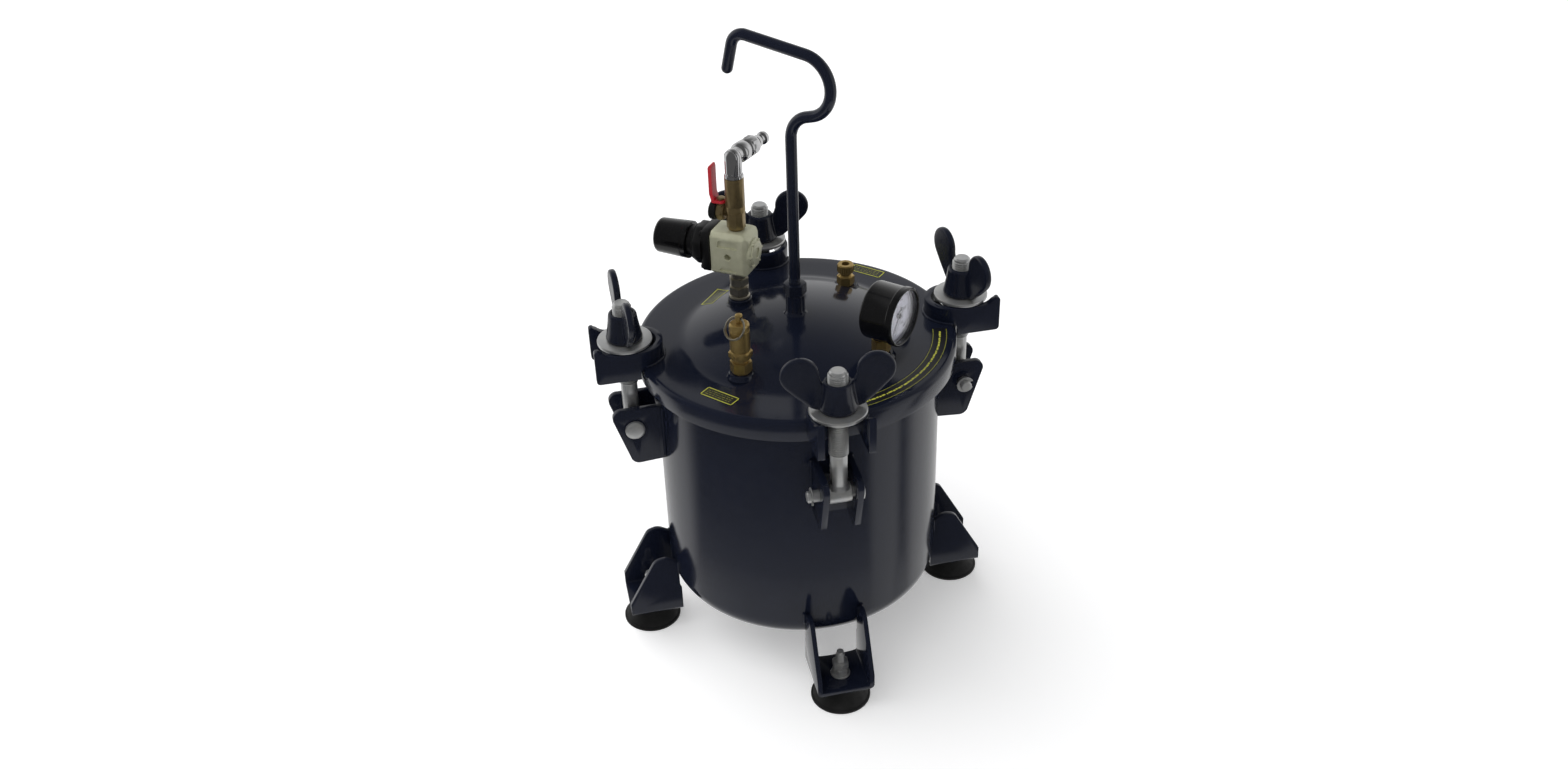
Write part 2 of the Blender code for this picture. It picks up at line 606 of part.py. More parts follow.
def make_swivel(x, y):
    """Chrome elbow that turns on the pillar, and the quick-connect plug that turns in it."""
    frame = stand("swivel_frame", x, y, ARM_Z, ARM_TURN)
    base = PILLAR_Z1 + GAP - ARM_Z
    post = turned([(0, base), (8.0, base), (8.0, base + 2), (7.2, base + 3), (7.2, 0), (6.2, 4.4), (3.4, 7.0), (0, 7.8)], 24)
    elbow = add_object("swivel_elbow", post, "chrome")
    arm = turn_to_x(turned([(0, -3), (6.6, -3), (6.9, 7), (8.4, 10), (8.4, 17), (7.6, 18), (0, 18)], 24))
    combine(elbow, arm, "UNION")
    hang(elbow, frame)
    plug = [(0, 18 + GAP), (7.4, 18 + GAP), (8.0, 19.5), (8.0, 28), (7.0, 31.6), (5.4, 34), (5.4, 36.5), (4.2, 38),
            (4.2, 41), (5.6, 42), (5.6, 44.5), (4.4, 46.5), (0, 46.5)]
    hang(add_object("quick_connect_plug", turn_to_x(turned(plug, 24)), "chrome"), frame)


# ---- safety valve, gauge and vent -------------------------------------------------

def make_safety_valve():
    x, y = polar(SAFETY_AT)
    top = SAFETY_TOP_Z
    body = foot_profile(SEAT_Z, 7.4) + [(7.4, 303), (6.4, 303.6), (6.4, 305), (8.9, 306), (8.9, 311.8), (8.3, 313.2),
                                        (8.3, top - 1.8), (6.8, top), (0, top)]
    body = add_object("safety_valve_body", turned(body, 18, center=(x, y)), "brass")
    combine(body, shift(hexagon(16, SEAT_Z + 1, 302.4, 10), x, y, 0), "UNION")
    bore = turned([(0, top - 12), (2.2 + GAP, top - 12), (2.2 + GAP, top + 5), (0, top + 5)], 16, center=(x, y))
    combine(body, bore, "DIFFERENCE")

    hole = RING_HOLE_Z
    stem = [(0, top - 8), (2.2, top - 8), (2.2, hole - 3.6), (3.2, hole - 3.0), (3.2, hole + 2.0), (2.2, hole + 3.0),
            (0, hole + 3.0)]
    stem = add_object("safety_valve_stem", turned([(r, z - hole) for r, z in stem], 20), "brass")
    across = turned([(0, -9), (1.75, -9), (1.75, 9), (0, 9)], 12)
    bmesh.ops.rotate(across, matrix=Matrix.Rotation(math.radians(90), 3, "X"), verts=across.verts)
    combine(stem, across, "DIFFERENCE")
    frame = stand("safety_frame", x, y, hole, RING_TURN)
    hang(stem, frame)

    bm = bmesh.new()
    turns, sides = 24, 6
    rings = []
    for i in range(turns):
        a = 2 * math.pi * i / turns
        center = Vector((RING_R - RING_R * math.cos(a), RING_R * math.sin(a), 0))
        outwards = Vector((-math.cos(a), math.sin(a), 0))
        rings.append([bm.verts.new(center + RING_WIRE_R * (math.cos(b) * outwards + math.sin(b) * Vector((0, 0, 1))))
                      for b in [2 * math.pi * k / sides for k in range(sides)]])
    for low, high in zip(rings, rings[1:] + rings[:1]):
        for k in range(sides):
            bm.faces.new((low[k], low[(k + 1) % sides], high[(k + 1) % sides], high[k]))
    hang(add_object("safety_pull_ring", bm, "zinc", 60), frame, rotation=(0, RING_LEAN, 0))


def make_gauge():
    """Round gauge standing on its stem, dial facing outwards along +X."""
    x, y = polar((1.0, GAUGE_AT[1]))
    frame = stand("gauge_frame", x * GAUGE_OFF0, y * GAUGE_OFF0, GAUGE_Z, GAUGE_AT[1])
    gx, gy = polar(GAUGE_AT)
    below = GAUGE_Z - GAUGE_R - GAP
    stem = foot_profile(SEAT_Z, 6.4) + [(6.4, below), (0, below)]
    stem = add_object("gauge_stem", turned(stem, 16, center=(gx, gy)), "brass")
    combine(stem, shift(hexagon(14, SEAT_Z + 1, below - 1.2, 15), gx, gy, 0), "UNION")

    depth = GAUGE_OFF1 - GAUGE_OFF0
    r = GAUGE_R
    case = [(0, 0), (r - 4, 0), (r - 1, 1.2), (r - 0.6, 4), (r - 0.6, depth - 5), (r, depth - 4.4), (r, depth - 1),
            (r - 1, depth), (r - 3.0, depth), (r - 3.0, depth - 1.2), (r - 2.2, depth - 1.2), (r - 2.2, 3), (0, 3)]
    hang(add_object("gauge_case", turn_to_x(turned(case, 32)), "black_plastic"), frame)
    face = depth - 7.5
    dial = turn_to_x(turned([(0, face - 1), (r - 2.2 - GAP, face - 1), (r - 2.2 - GAP, face), (0, face)], 32))
    hang(add_object("gauge_dial", dial, "dial_white"), frame)
    lens = turn_to_x(turned([(0, depth - 3), (r - 2.2 - GAP, depth - 3), (r - 2.2 - GAP, depth - 1.5),
                             (0, depth - 1.5)], 32))
    hang(add_object("gauge_lens", lens, "clear_glass"), frame)

    pointer = [(-1.6, 7), (1.6, 7)] + arc(0, 0, 2.2, 20, -60, 2) + [(0.4, -19), (-0.4, -19)]
    pointer += arc(0, 0, 2.2, 240, 160, 2)
    needle = add_object("gauge_needle", prism(pointer, -0.4, 0.4), "black_plastic")
    combine(needle, turned([(0, -1.2), (2.4, -1.2), (2.4, 1.0), (0, 1.0)], 16), "UNION")
    hang(needle, frame, location=(face + 1.8, 0, 0), rotation=(0, 0, 0))
    needle.rotation_mode = "QUATERNION"
    stand_up = Matrix(((0, 0, 1), (1, 0, 0), (0, 1, 0)))
    lean = Matrix.Rotation(math.radians(-NEEDLE_REST), 3, "X")
    needle.rotation_quaternion = (lean @ stand_up).to_quaternion()


def make_vent():
    x, y = polar(VENT_AT)
    profile = foot_profile(SEAT_Z, 6.4) + [(6.4, 301.5), (5.4, 302.2), (5.4, 303.6), (7.1, 304.4), (7.1, 311.8),
                                           (6.4, 312.6), (3.4, 312.6), (3.4, 302), (0, 302)]
    vent = add_object("vent_fitting", turned(profile, 16, center=(x, y)), "brass")
    combine(vent, shift(hexagon(13.6, SEAT_Z + 1, 300.8, 15), x, y, 0), "UNION")


def build():
    clear_scene()
    make_tank()
    make_lid()
    make_gasket()
    for side in CLAMP_ANGLES:
        make_clamp(side)
        make_foot(side)
    make_hook()
    make_regulator()
    make_safety_valve()
    make_gauge()
    make_vent()
    bpy.context.view_layer.update()


build()
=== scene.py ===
import math

import bpy
from mathutils import Matrix, Vector


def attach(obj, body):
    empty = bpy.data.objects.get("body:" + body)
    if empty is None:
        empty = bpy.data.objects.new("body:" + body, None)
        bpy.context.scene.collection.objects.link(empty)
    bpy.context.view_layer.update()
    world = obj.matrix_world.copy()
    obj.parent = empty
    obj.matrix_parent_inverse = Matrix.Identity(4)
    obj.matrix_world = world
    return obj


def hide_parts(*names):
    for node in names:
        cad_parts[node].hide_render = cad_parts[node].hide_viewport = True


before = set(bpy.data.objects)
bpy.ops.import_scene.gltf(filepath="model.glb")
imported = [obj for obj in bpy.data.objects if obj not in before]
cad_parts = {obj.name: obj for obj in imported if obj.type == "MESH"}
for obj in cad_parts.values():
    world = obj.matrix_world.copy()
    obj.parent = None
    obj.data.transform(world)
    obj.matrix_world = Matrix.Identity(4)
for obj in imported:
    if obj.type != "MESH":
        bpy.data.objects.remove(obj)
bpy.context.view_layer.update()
mm = 0.001
sides = {"right": 0, "back": 90, "left": 180, "front": -90}


# small helpers for modelling

def deselectAll():
    if bpy.context.mode != "OBJECT":
        bpy.ops.object.mode_set(mode="OBJECT")
    bpy.ops.object.select_all(action="DESELECT")


def pick(piece):
    deselectAll()
    piece.select_set(True)
    bpy.context.view_layer.objects.active = piece
    return piece


def fixPlace(piece, move=(0, 0, 0), turn=(0, 0, 0)):  # moves in mm, turns in degrees, then applied
    pick(piece)
    piece.rotation_euler = [math.radians(a) for a in turn]
    piece.location = Vector(piece.location) + Vector(move) * mm
    bpy.ops.object.transform_apply(location=True, rotation=True, scale=True)
    return piece


def tidyFaces(piece):
    pick(piece)
    bpy.ops.object.mode_set(mode="EDIT")
    bpy.ops.mesh.select_all(action="SELECT")
    bpy.ops.mesh.remove_doubles(threshold=0.000004)
    bpy.ops.mesh.normals_make_consistent(inside=False)
    bpy.ops.object.mode_set(mode="OBJECT")
    return piece


def modify(piece, kind, **values):
    pick(piece)
    bpy.ops.object.modifier_add(type=kind)
    modifier = piece.modifiers[-1]
    for key, value in values.items():
        setattr(modifier, key, value)
    bpy.ops.object.modifier_apply(modifier=modifier.name)
    return piece


def roundEdges(piece, width, segments=2, angle=32):
    return modify(piece, "BEVEL", width=width * mm, segments=segments, limit_method="ANGLE",
            angle_limit=math.radians(angle))


def cut(piece, tool, how="DIFFERENCE"):
    modify(piece, "BOOLEAN", operation=how, object=tool, solver="EXACT")
    bpy.data.objects.remove(tool, do_unlink=True)
    return piece


def together(pieces, name):
    deselectAll()
    for piece in pieces:
        piece.select_set(True)
    bpy.context.view_layer.objects.active = pieces[0]
    bpy.ops.object.join()
    pieces[0].name = name
    return pieces[0]


def copyPiece(piece, name, turn=0.0):  # own mesh, turned about the pot's axis
    pick(piece)
    bpy.ops.object.duplicate()
    twin = bpy.context.object
    twin.name = name
    return fixPlace(twin, turn=(0, 0, turn))


def startLine(name, point):
    deselectAll()
    bpy.ops.mesh.primitive_plane_add(size=mm)
    piece = bpy.context.object
    piece.name = name
    bpy.ops.object.mode_set(mode="EDIT")
    bpy.ops.mesh.merge(type="CENTER")
    bpy.ops.transform.translate(value=Vector(point) * mm)
    return piece


def extendLine(points):
    for before, after in zip(points, points[1:]):
        step = (Vector(after) - Vector(before)) * mm
        bpy.ops.mesh.extrude_region_move(TRANSFORM_OT_translate={"value": step})


def spinPiece(name, outline, steps=64, angle=30):  # outline: radius and height, from the bottom up
    points = [(r, 0, z) for r, z in outline]
    piece = startLine(name, points[0])
    extendLine(points)
    bpy.ops.mesh.select_all(action="SELECT")
    bpy.ops.mesh.spin(steps=steps, angle=2 * math.pi, center=(0, 0, 0), axis=(0, 0, 1))
    tidyFaces(piece)
    return smooth(piece, angle)


def slab(name, outline, low, high):  # a flat outline pushed straight up
    points = [(x, y, low) for x, y in outline]
    piece = startLine(name, points[0])
    extendLine(points)
    bpy.ops.mesh.select_all(action="SELECT")
    bpy.ops.mesh.edge_face_add()
    bpy.ops.mesh.extrude_region_move(TRANSFORM_OT_translate={"value": (0, 0, (high - low) * mm)})
    return tidyFaces(piece)


def sideSlab(name, outline, half):  # the same with the outline in the XZ plane
    return tidyFaces(fixPlace(slab(name, outline, -half, half), turn=(90, 0, 0)))


def bend(cx, cy, r, start, end, steps):
    span = [math.radians(start + (end - start) * i / steps) for i in range(steps + 1)]
    return [(cx + r * math.cos(a), cy + r * math.sin(a)) for a in span]


def softCorners(points, radius, steps=4):  # rounds every corner of an outline
    made = []
    for i, corner in enumerate(points):
        here = Vector(corner)
        toBefore = Vector(points[i - 1]) - here
        toAfter = Vector(points[(i + 1) % len(points)]) - here
        reach = min(radius, toBefore.length * 0.45, toAfter.length * 0.45)
        a, b = here + toBefore.normalized() * reach, here + toAfter.normalized() * reach
        for k in range(steps + 1):
            t = k / steps
            p = a.lerp(here, t).lerp(here.lerp(b, t), t)
            made.append((p.x, p.y))
    return made


def smooth(piece, angle=30):
    pick(piece)
    bpy.ops.object.shade_smooth_by_angle(angle=math.radians(angle))
    return piece


def rod(name, r, low, high, steps=32, edge=0.0):
    outline = [(0, low), (r - edge, low), (r, low + edge), (r, high - edge), (r - edge, high), (0, high)]
    return spinPiece(name, [p for i, p in enumerate(outline) if i == 0 or p != outline[i - 1]], steps)


def hexNut(name, acrossFlats, low, high, bore=0.0, turn=0.0):
    deselectAll()
    bpy.ops.mesh.primitive_cylinder_add(vertices=6, radius=acrossFlats / math.sqrt(3) * mm,
            depth=(high - low) * mm, location=(0, 0, (high + low) / 2 * mm))
    nut = bpy.context.object
    nut.name = name
    roundEdges(fixPlace(nut, turn=(0, 0, turn)), 0.25, 2, 50)
    corner, flat = acrossFlats / math.sqrt(3), acrossFlats / 2
    rise = (corner - flat) * 0.62
    cone = [(0, low), (flat - 0.3, low), (corner + 0.2, low + rise), (corner + 0.2, high - rise),
            (flat - 0.3, high), (0, high)]
    cut(nut, spinPiece("cone", cone, 36), "INTERSECT")
    if bore:
        cut(nut, rod("bore", bore, low - 2, high + 2, 36))
    return smooth(tidyFaces(nut), 30)


def threadLine(r, low, high, pitch, depth):  # outline of a thread, crest and root in turn
    count = int((high - low) / pitch)
    made = []
    for i in range(count):
        z = low + i * pitch
        made += [(r - depth, z), (r, z + pitch * 0.42), (r, z + pitch * 0.58)]
    return made + [(r - depth, low + count * pitch)]


def dress(piece, finish, body, *nodes, slot=None):
    piece.data.materials.clear()
    piece.data.materials.append(finishes[finish])
    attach(piece, body)
    if nodes:
        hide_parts(*nodes)
    return piece


# finishes

def node(tree, kind, **inputs):
    made = tree.nodes.new(kind)
    for key, value in inputs.items():
        made.inputs[key].default_value = value
    return made


def finishOf(name, look):
    material = bpy.data.materials.new(name)
    material.use_nodes = True
    tree = material.node_tree
    shader = tree.nodes["Principled BSDF"]
    link = tree.links.new
    patchScale, wearScale, grainScale = look["scales"]  # higher is finer
    shader.inputs["Metallic"].default_value = look.get("metal", 0.0)
    shader.inputs["Coat Weight"].default_value = look.get("coat", 0.0)
    shader.inputs["Coat Roughness"].default_value = 0.05
    place = tree.nodes.new("ShaderNodeTexCoord")
    stretch = node(tree, "ShaderNodeMapping")
    stretch.inputs["Scale"].default_value = look.get("stretch", (1, 1, 1))
    link(place.outputs["Object"], stretch.inputs["Vector"])

    patches = node(tree, "ShaderNodeTexNoise", Scale=patchScale, Detail=4.0, Roughness=0.6)
    link(place.outputs["Object"], patches.inputs["Vector"])
    tint = tree.nodes.new("ShaderNodeValToRGB")
    for stop, position, color in zip(tint.color_ramp.elements, (0.32, 0.68), look["colors"]):
        stop.position = position
        stop.color = (*color, 1)
    link(patches.outputs["Fac"], tint.inputs["Fac"])
    link(tint.outputs["Color"], shader.inputs["Base Color"])

    wear = node(tree, "ShaderNodeTexNoise", Scale=wearScale, Detail=5.0, Roughness=0.65)
    link(stretch.outputs["Vector"], wear.inputs["Vector"])
    spread = tree.nodes.new("ShaderNodeMapRange")
    for key, value in zip(("From Min", "From Max", "To Min", "To Max"), (0.3, 0.7, *look["rough"])):
        spread.inputs[key].default_value = value
    link(wear.outputs["Fac"], spread.inputs["Value"])
    link(spread.outputs["Result"], shader.inputs["Roughness"])

    grain = node(tree, "ShaderNodeTexNoise", Scale=grainScale, Detail=3.0, Roughness=0.55)
    link(stretch.outputs["Vector"], grain.inputs["Vector"])
    bump = node(tree, "ShaderNodeBump", Strength=look["bump"][0], Distance=look["bump"][1])
    link(grain.outputs["Fac"], bump.inputs["Height"])
    link(bump.outputs["Normal"], shader.inputs["Normal"])
    if look.get("coat", 0.0) > 0:
        link(bump.outputs["Normal"], shader.inputs["Coat Normal"])
    return material


looks = {
    "navyPaint": {"colors": ((0.0062, 0.0082, 0.017), (0.0074, 0.0096, 0.0195)), "rough": (0.1, 0.17),
        "scales": (25, 90, 420), "bump": (0.1, 0.0001)},
    "castPaint": {"colors": ((0.006, 0.0078, 0.0155), (0.008, 0.01, 0.019)), "rough": (0.16, 0.26),
        "scales": (60, 140, 260), "bump": (0.14, 0.00025)},
    "zinc": {"colors": ((0.56, 0.57, 0.58), (0.66, 0.66, 0.64)), "rough": (0.29, 0.38),
        "metal": 0.84, "scales": (90, 300, 1300), "bump": (0.12, 0.000008)},
    "brass": {"colors": ((0.5, 0.35, 0.125), (0.58, 0.42, 0.17)), "rough": (0.285, 0.34),
        "metal": 0.88, "scales": (120, 260, 700), "stretch": (1, 1, 7), "bump": (0.1, 0.000008)},
    "dullBrass": {"colors": ((0.3, 0.225, 0.11), (0.36, 0.27, 0.135)), "rough": (0.29, 0.37),
        "metal": 0.86, "scales": (120, 260, 700), "stretch": (1, 1, 7), "bump": (0.1, 0.000008)},
    "nickel": {"colors": ((0.44, 0.41, 0.33), (0.52, 0.48, 0.38)), "rough": (0.285, 0.33),
        "metal": 0.92, "scales": (150, 260, 900), "bump": (0.1, 0.000008)},
    "champagneCast": {"colors": ((0.5, 0.5, 0.355), (0.58, 0.58, 0.43)), "rough": (0.32, 0.46),
        "metal": 0.4, "scales": (130, 260, 1500), "bump": (0.28, 0.00012)},
    "blackPlastic": {"colors": ((0.0045, 0.0045, 0.005), (0.007, 0.007, 0.0075)), "rough": (0.28, 0.42),
        "scales": (90, 200, 1700), "bump": (0.2, 0.00006)},
    "blackGloss": {"colors": ((0.003, 0.003, 0.0033), (0.0045, 0.0045, 0.005)), "rough": (0.14, 0.22),
        "coat": 0.2, "scales": (60, 120, 600), "bump": (0.08, 0.00008)},
    "chrome": {"colors": ((0.66, 0.66, 0.67), (0.72, 0.72, 0.72)), "rough": (0.05, 0.12),
        "metal": 1.0, "scales": (120, 300, 800), "bump": (0.05, 0.000005)},
    "redVinyl": {"colors": ((0.42, 0.012, 0.022), (0.5, 0.018, 0.03)), "rough": (0.25, 0.4),
        "scales": (200, 400, 900), "bump": (0.15, 0.0001)},
    "rubber": {"colors": ((0.007, 0.007, 0.007), (0.012, 0.012, 0.012)), "rough": (0.5, 0.72),
        "scales": (70, 160, 1100), "bump": (0.3, 0.00012)},
    "dialWhite": {"colors": ((0.66, 0.66, 0.76), (0.7, 0.7, 0.79)), "rough": (0.38, 0.5),
        "scales": (40, 120, 2000), "bump": (0.05, 0.00003)},
    "dialInk": {"colors": ((0.01, 0.01, 0.012), (0.01, 0.01, 0.012)), "rough": (0.4, 0.5),
        "scales": (60, 220, 1500), "bump": (0.05, 0.0001)},
    "labelBlack": {"colors": ((0.006, 0.0065, 0.009), (0.006, 0.0065, 0.009)), "rough": (0.32, 0.42),
        "scales": (60, 220, 900), "bump": (0.04, 0.0001)},
    "labelInk": {"colors": ((0.46, 0.47, 0.05), (0.56, 0.56, 0.08)), "rough": (0.4, 0.5),
        "scales": (300, 220, 900), "bump": (0.05, 0.0001)},
}
finishes = {name: finishOf(name, look) for name, look in looks.items()}


def glassFinish():
    material = bpy.data.materials.new("clearGlass")
    material.use_nodes = True
    shader = material.node_tree.nodes["Principled BSDF"]
    shader.inputs["Base Color"].default_value = (0.97, 0.98, 1.0, 1)
    shader.inputs["Roughness"].default_value = 0.03
    shader.inputs["IOR"].default_value = 1.2
    shader.inputs["Transmission Weight"].default_value = 1.0
    shader.inputs["Alpha"].default_value = 0.35
    return material


finishes["clearGlass"] = glassFinish()
print("finishes made:", len(finishes))


# tank

tank = {"r": 122.5, "wall": 2.5, "floorZ": 45.0, "knuckle": 22.0, "rimR": 130.5, "rimLow": 270.0,
        "rimTop": 276.0, "seamTurn": 38}


def makeTank():
    t = tank
    r, wall, floorZ, low, top = t["r"], t["wall"], t["floorZ"], t["rimLow"], t["rimTop"]
    center, inner = (r - t["knuckle"], floorZ + t["knuckle"]), r - wall
    outline = [(0, floorZ), (60, floorZ)] + bend(*center, t["knuckle"], -90, 0, 12)
    outline += [(r, 120), (r, 200), (r, low - 4), (r, low - 1.2)] + bend(r + 1.2, low - 1.2, 1.2, 180, 90, 3)
    outline += bend(t["rimR"] - 1.5, low + 1.5, 1.5, -90, 0, 3)
    outline += bend(t["rimR"] - 1.5, top - 1.5, 1.5, 0, 90, 3)
    outline += [(inner + 1, top), (inner, top - 1), (inner, 200), (inner, 120)]
    outline += bend(*center, t["knuckle"] - wall, 0, -90, 10) + [(60, floorZ + wall), (0, floorZ + wall)]
    shell = spinPiece("tankShell", outline, 144)
    dress(shell, "navyPaint", "root", "tank_shell")
    seam = slab("tankSeam", softCorners([(-2.2, -0.3), (2.2, -0.3), (1.4, 0.5), (-1.4, 0.5)], 0.6), 70, 266)
    roundEdges(seam, 0.3)
    fixPlace(seam, move=(0, r, 0))
    fixPlace(seam, turn=(0, 0, t["seamTurn"]))
    dress(smooth(seam, 60), "navyPaint", "root")


def wire(name, points, sizes, r, resolution):  # a round rod through the points, with its thickness at each
    curve = bpy.data.curves.new(name, "CURVE")
    curve.dimensions = "3D"
    curve.bevel_depth = r * mm
    curve.bevel_resolution = resolution
    curve.use_fill_caps = True
    line = curve.splines.new("POLY")
    line.points.add(len(points) - 1)
    for place, point, size in zip(line.points, points, sizes):
        place.co = (*(point * mm), 1)
        place.radius = size
    piece = bpy.data.objects.new(name, curve)
    bpy.context.scene.collection.objects.link(piece)
    pick(piece)
    bpy.ops.object.convert(target="MESH")
    return tidyFaces(bpy.context.object)


def beadAlong(name, points, r):  # a weld bead: a lumpy string of short ripples along a line
    fine = []
    for a, b in zip(points, points[1:]):
        a, b = Vector(a), Vector(b)
        count = max(2, int((b - a).length / 0.9))
        fine += [a.lerp(b, i / count) for i in range(count)]
    fine.append(Vector(points[-1]))
    return smooth(wire(name, fine, [0.82 + 0.22 * (i % 2) for i in range(len(fine))], r, 2), 80)


# lid

lid = {"r": 136.5, "top": 285.5, "wall": 5.0, "skirt": 267.0, "edge": 5.0, "apex": 306.0, "foot": 97.0,
        "bore": 5.2}
ports = {"Reg": (57.0, 135.0, 304.5), "Safety": (83.5, -135.0, 292.2), "Gauge": (83.0, -45.0, 292.2),
         "Vent": (83.0, 45.0, 292.2)}


def domeZ(r):
    return lid["apex"] - (lid["apex"] - lid["top"]) * min(1.0, r / lid["foot"]) ** 2


def spot(at):
    return at[0] * math.cos(math.radians(at[1])), at[0] * math.sin(math.radians(at[1]))


def shank(seat):  # the plain end of a fitting, down in its port
    return [(0, seat - 8), (4.2, seat - 8), (4.7, seat - 7.4), (4.7, seat + 0.3)]


def makeLid():
    k = lid
    footSteps = [(r, domeZ(r)) for r in (0, 8, 16, 24, 32, 40, 48, 56, 64, 72, 80, 86, 90, 93.2)]
    start, end = Vector((93.2, domeZ(93.2))), Vector((102.5, k["top"]))
    corner = Vector((97.3, k["top"]))
    blend = [start.lerp(corner, t / 6).lerp(corner.lerp(end, t / 6), t / 6) for t in range(1, 7)]
    r, top, edge, skirt = k["r"], k["top"], k["edge"], k["skirt"]
    inner, under = r - k["wall"], top - k["wall"]
    outline = footSteps + [(p.x, p.y) for p in blend] + [(112, top), (122, top)]
    outline += bend(r - edge, top - edge, edge, 90, 0, 10)
    outline += [(r, skirt + 1)] + bend(r - 1, skirt + 1, 1, 0, -90, 2)
    outline += [(inner + 0.6, skirt), (inner, skirt + 0.6)]
    outline += bend(inner - 1.5, under - 1.5, 1.5, 0, 90, 3) + [(122, under), (103, under)]
    outline += [(r, domeZ(r) - k["wall"]) for r in (93, 84, 72, 60, 48, 36, 24, 12, 0)]
    shell = spinPiece("lidShell", outline[::-1], 160, 40)
    for at in ports.values():
        cut(shell, fixPlace(rod("hole", k["bore"], 250, 320, 32), move=(*spot(at), 0)))
    dress(smooth(shell, 30), "navyPaint", "root", "lid_shell")
    for name, at in ports.items():
        low, near, bore = domeZ(at[0] + 11) - 1.5, domeZ(at[0]), k["bore"]
        outline = [(bore, low), (12.2, low), (12.2, near - 2.2), (10.9, near - 0.6), (10.4, near + 0.6),
                (10.4, at[2] - 0.8), (9.6, at[2]), (bore, at[2]), (bore, low)]
        boss = fixPlace(spinPiece("portBoss" + name, outline, 56), move=(*spot(at), 0))
        dress(boss, "navyPaint", "root")


# labels on the lid: plain frames with dashes, no lettering

labels = {"wide": 32.0, "high": 12.4, "line": 0.8, "margin": 0.4, "lift": 0.03, "thick": 0.10, "ink": 0.06}
plates = {"A": (94.0, 127.0, 52), "B": (114.6, -135.2, -48), "C": (123.0, 45.5, -45)}
band = {"r": (115.5, 128.5), "turn": (-80, -12), "lines": (116.2, 127.5), "line": 0.25, "middle": 121.0}


def arcStrip(name, r0, r1, a0, a1, low, high):
    steps = max(2, int(abs(a1 - a0) / 1.5))
    outline = bend(0, 0, r0, a0, a1, steps) + bend(0, 0, r1, a1, a0, steps)
    return slab(name, outline, low, high)


def patch(u0, u1, v0, v1):
    deselectAll()
    bpy.ops.mesh.primitive_grid_add(x_subdivisions=max(1, int((u1 - u0) / 2)),
            y_subdivisions=max(1, int((v1 - v0) / 2)), size=mm)
    piece = bpy.context.object
    piece.scale = (u1 - u0, v1 - v0, 1)
    return fixPlace(piece, move=((u0 + u1) / 2, (v0 + v1) / 2, 0))


def stick(patches, name, at, lift, thick):  # lays flat patches on the lid's curved top
    sticker = fixPlace(together([patch(*p) for p in patches], name), turn=(0, 0, at[2]))
    fixPlace(sticker, move=(*spot(at), 330))
    modify(sticker, "SHRINKWRAP", target=bpy.data.objects["lidShell"], wrap_method="PROJECT",
            use_project_z=True, use_negative_direction=True, use_positive_direction=False, offset=lift * mm)
    modify(sticker, "SOLIDIFY", thickness=thick * mm, offset=1.0)
    return smooth(sticker, 30)


def makeLabels():
    k = labels
    half, rise = k["wide"] / 2, k["high"] / 2
    out, up, line = half - k["margin"], rise - k["margin"], k["line"]
    inkLift = k["lift"] + k["thick"]
    frameLines = [(-out, out, up - line, up), (-out, out, -up, -up + line), (-out, -out + line, -up, up),
            (out - line, out, -up, up)]
    for tag, at in plates.items():
        plate = stick([(-half, half, -rise, rise)], "labelPlate" + tag, at, k["lift"], k["thick"])
        dress(plate, "labelBlack", "root")
        dashes = []
        for row in range(3):
            v = (1 - row) * 2.5
            u, count = -out + 2.6, 0
            while u < out - 3.5:
                wide = (2.2, 1.2, 3.2, 1.8)[(count + row) % 4]
                dashes.append((u, min(u + wide, out - 2.4), v - 0.14, v + 0.14))
                u += wide + 1.1
                count += 1
        ink = stick(frameLines + dashes, "labelInk" + tag, at, inkLift, k["ink"])
        dress(ink, "labelInk", "root")
    low = lid["top"] + 0.01
    ink, top = low + k["thick"], low + k["thick"] + k["ink"]
    start, end = band["turn"]
    dress(arcStrip("bandPlate", *band["r"], start, end, low, ink), "labelBlack", "root")
    parts = [arcStrip("ink", r, r + band["line"], start + 1, end - 1, ink, top) for r in band["lines"]]
    a, count = start + 2.0, 0
    while a < end - 3:
        wide = (0.9, 1.4, 0.6, 1.8, 1.1)[count % 5]
        inner = band["middle"] + (0.0, 0.35, 0.1, 0.3)[count % 4]
        parts.append(arcStrip("ink", inner, inner + 1.5, a, a + wide, ink, top))
        a += wide + (0.35 if count % 6 else 0.8)
        count += 1
    dress(together(parts, "bandInk"), "labelInk", "root")


makeTank()
print("tank made")
makeLid()
makeLabels()
print("lid made")


# swing clamps, drawn at the right-hand side and copied round

clamp = {"r": 146.0, "pinZ": 221.5, "seatZ": 299.7, "lugHalf": 23.0, "lugThick": 5.5, "lugEnd": 174.0,
        "lugFoot": 274.5, "bendR": 137.5, "earIn": 11.5, "earThick": 5.0, "washerR": 23.0,
        "washerLow": 300.0, "washerTop": 303.0, "boltTop": 337.0, "pinR": 5.0, "weld": 1.5, "lugWeld": 1.6}
wing = {"top": 327.8, "half": 2.9, "paddleR": 15.3, "grain": 0.62, "bore": 8.25,
        "turns": {"right": 102, "back": 165, "left": 94, "front": -4}}


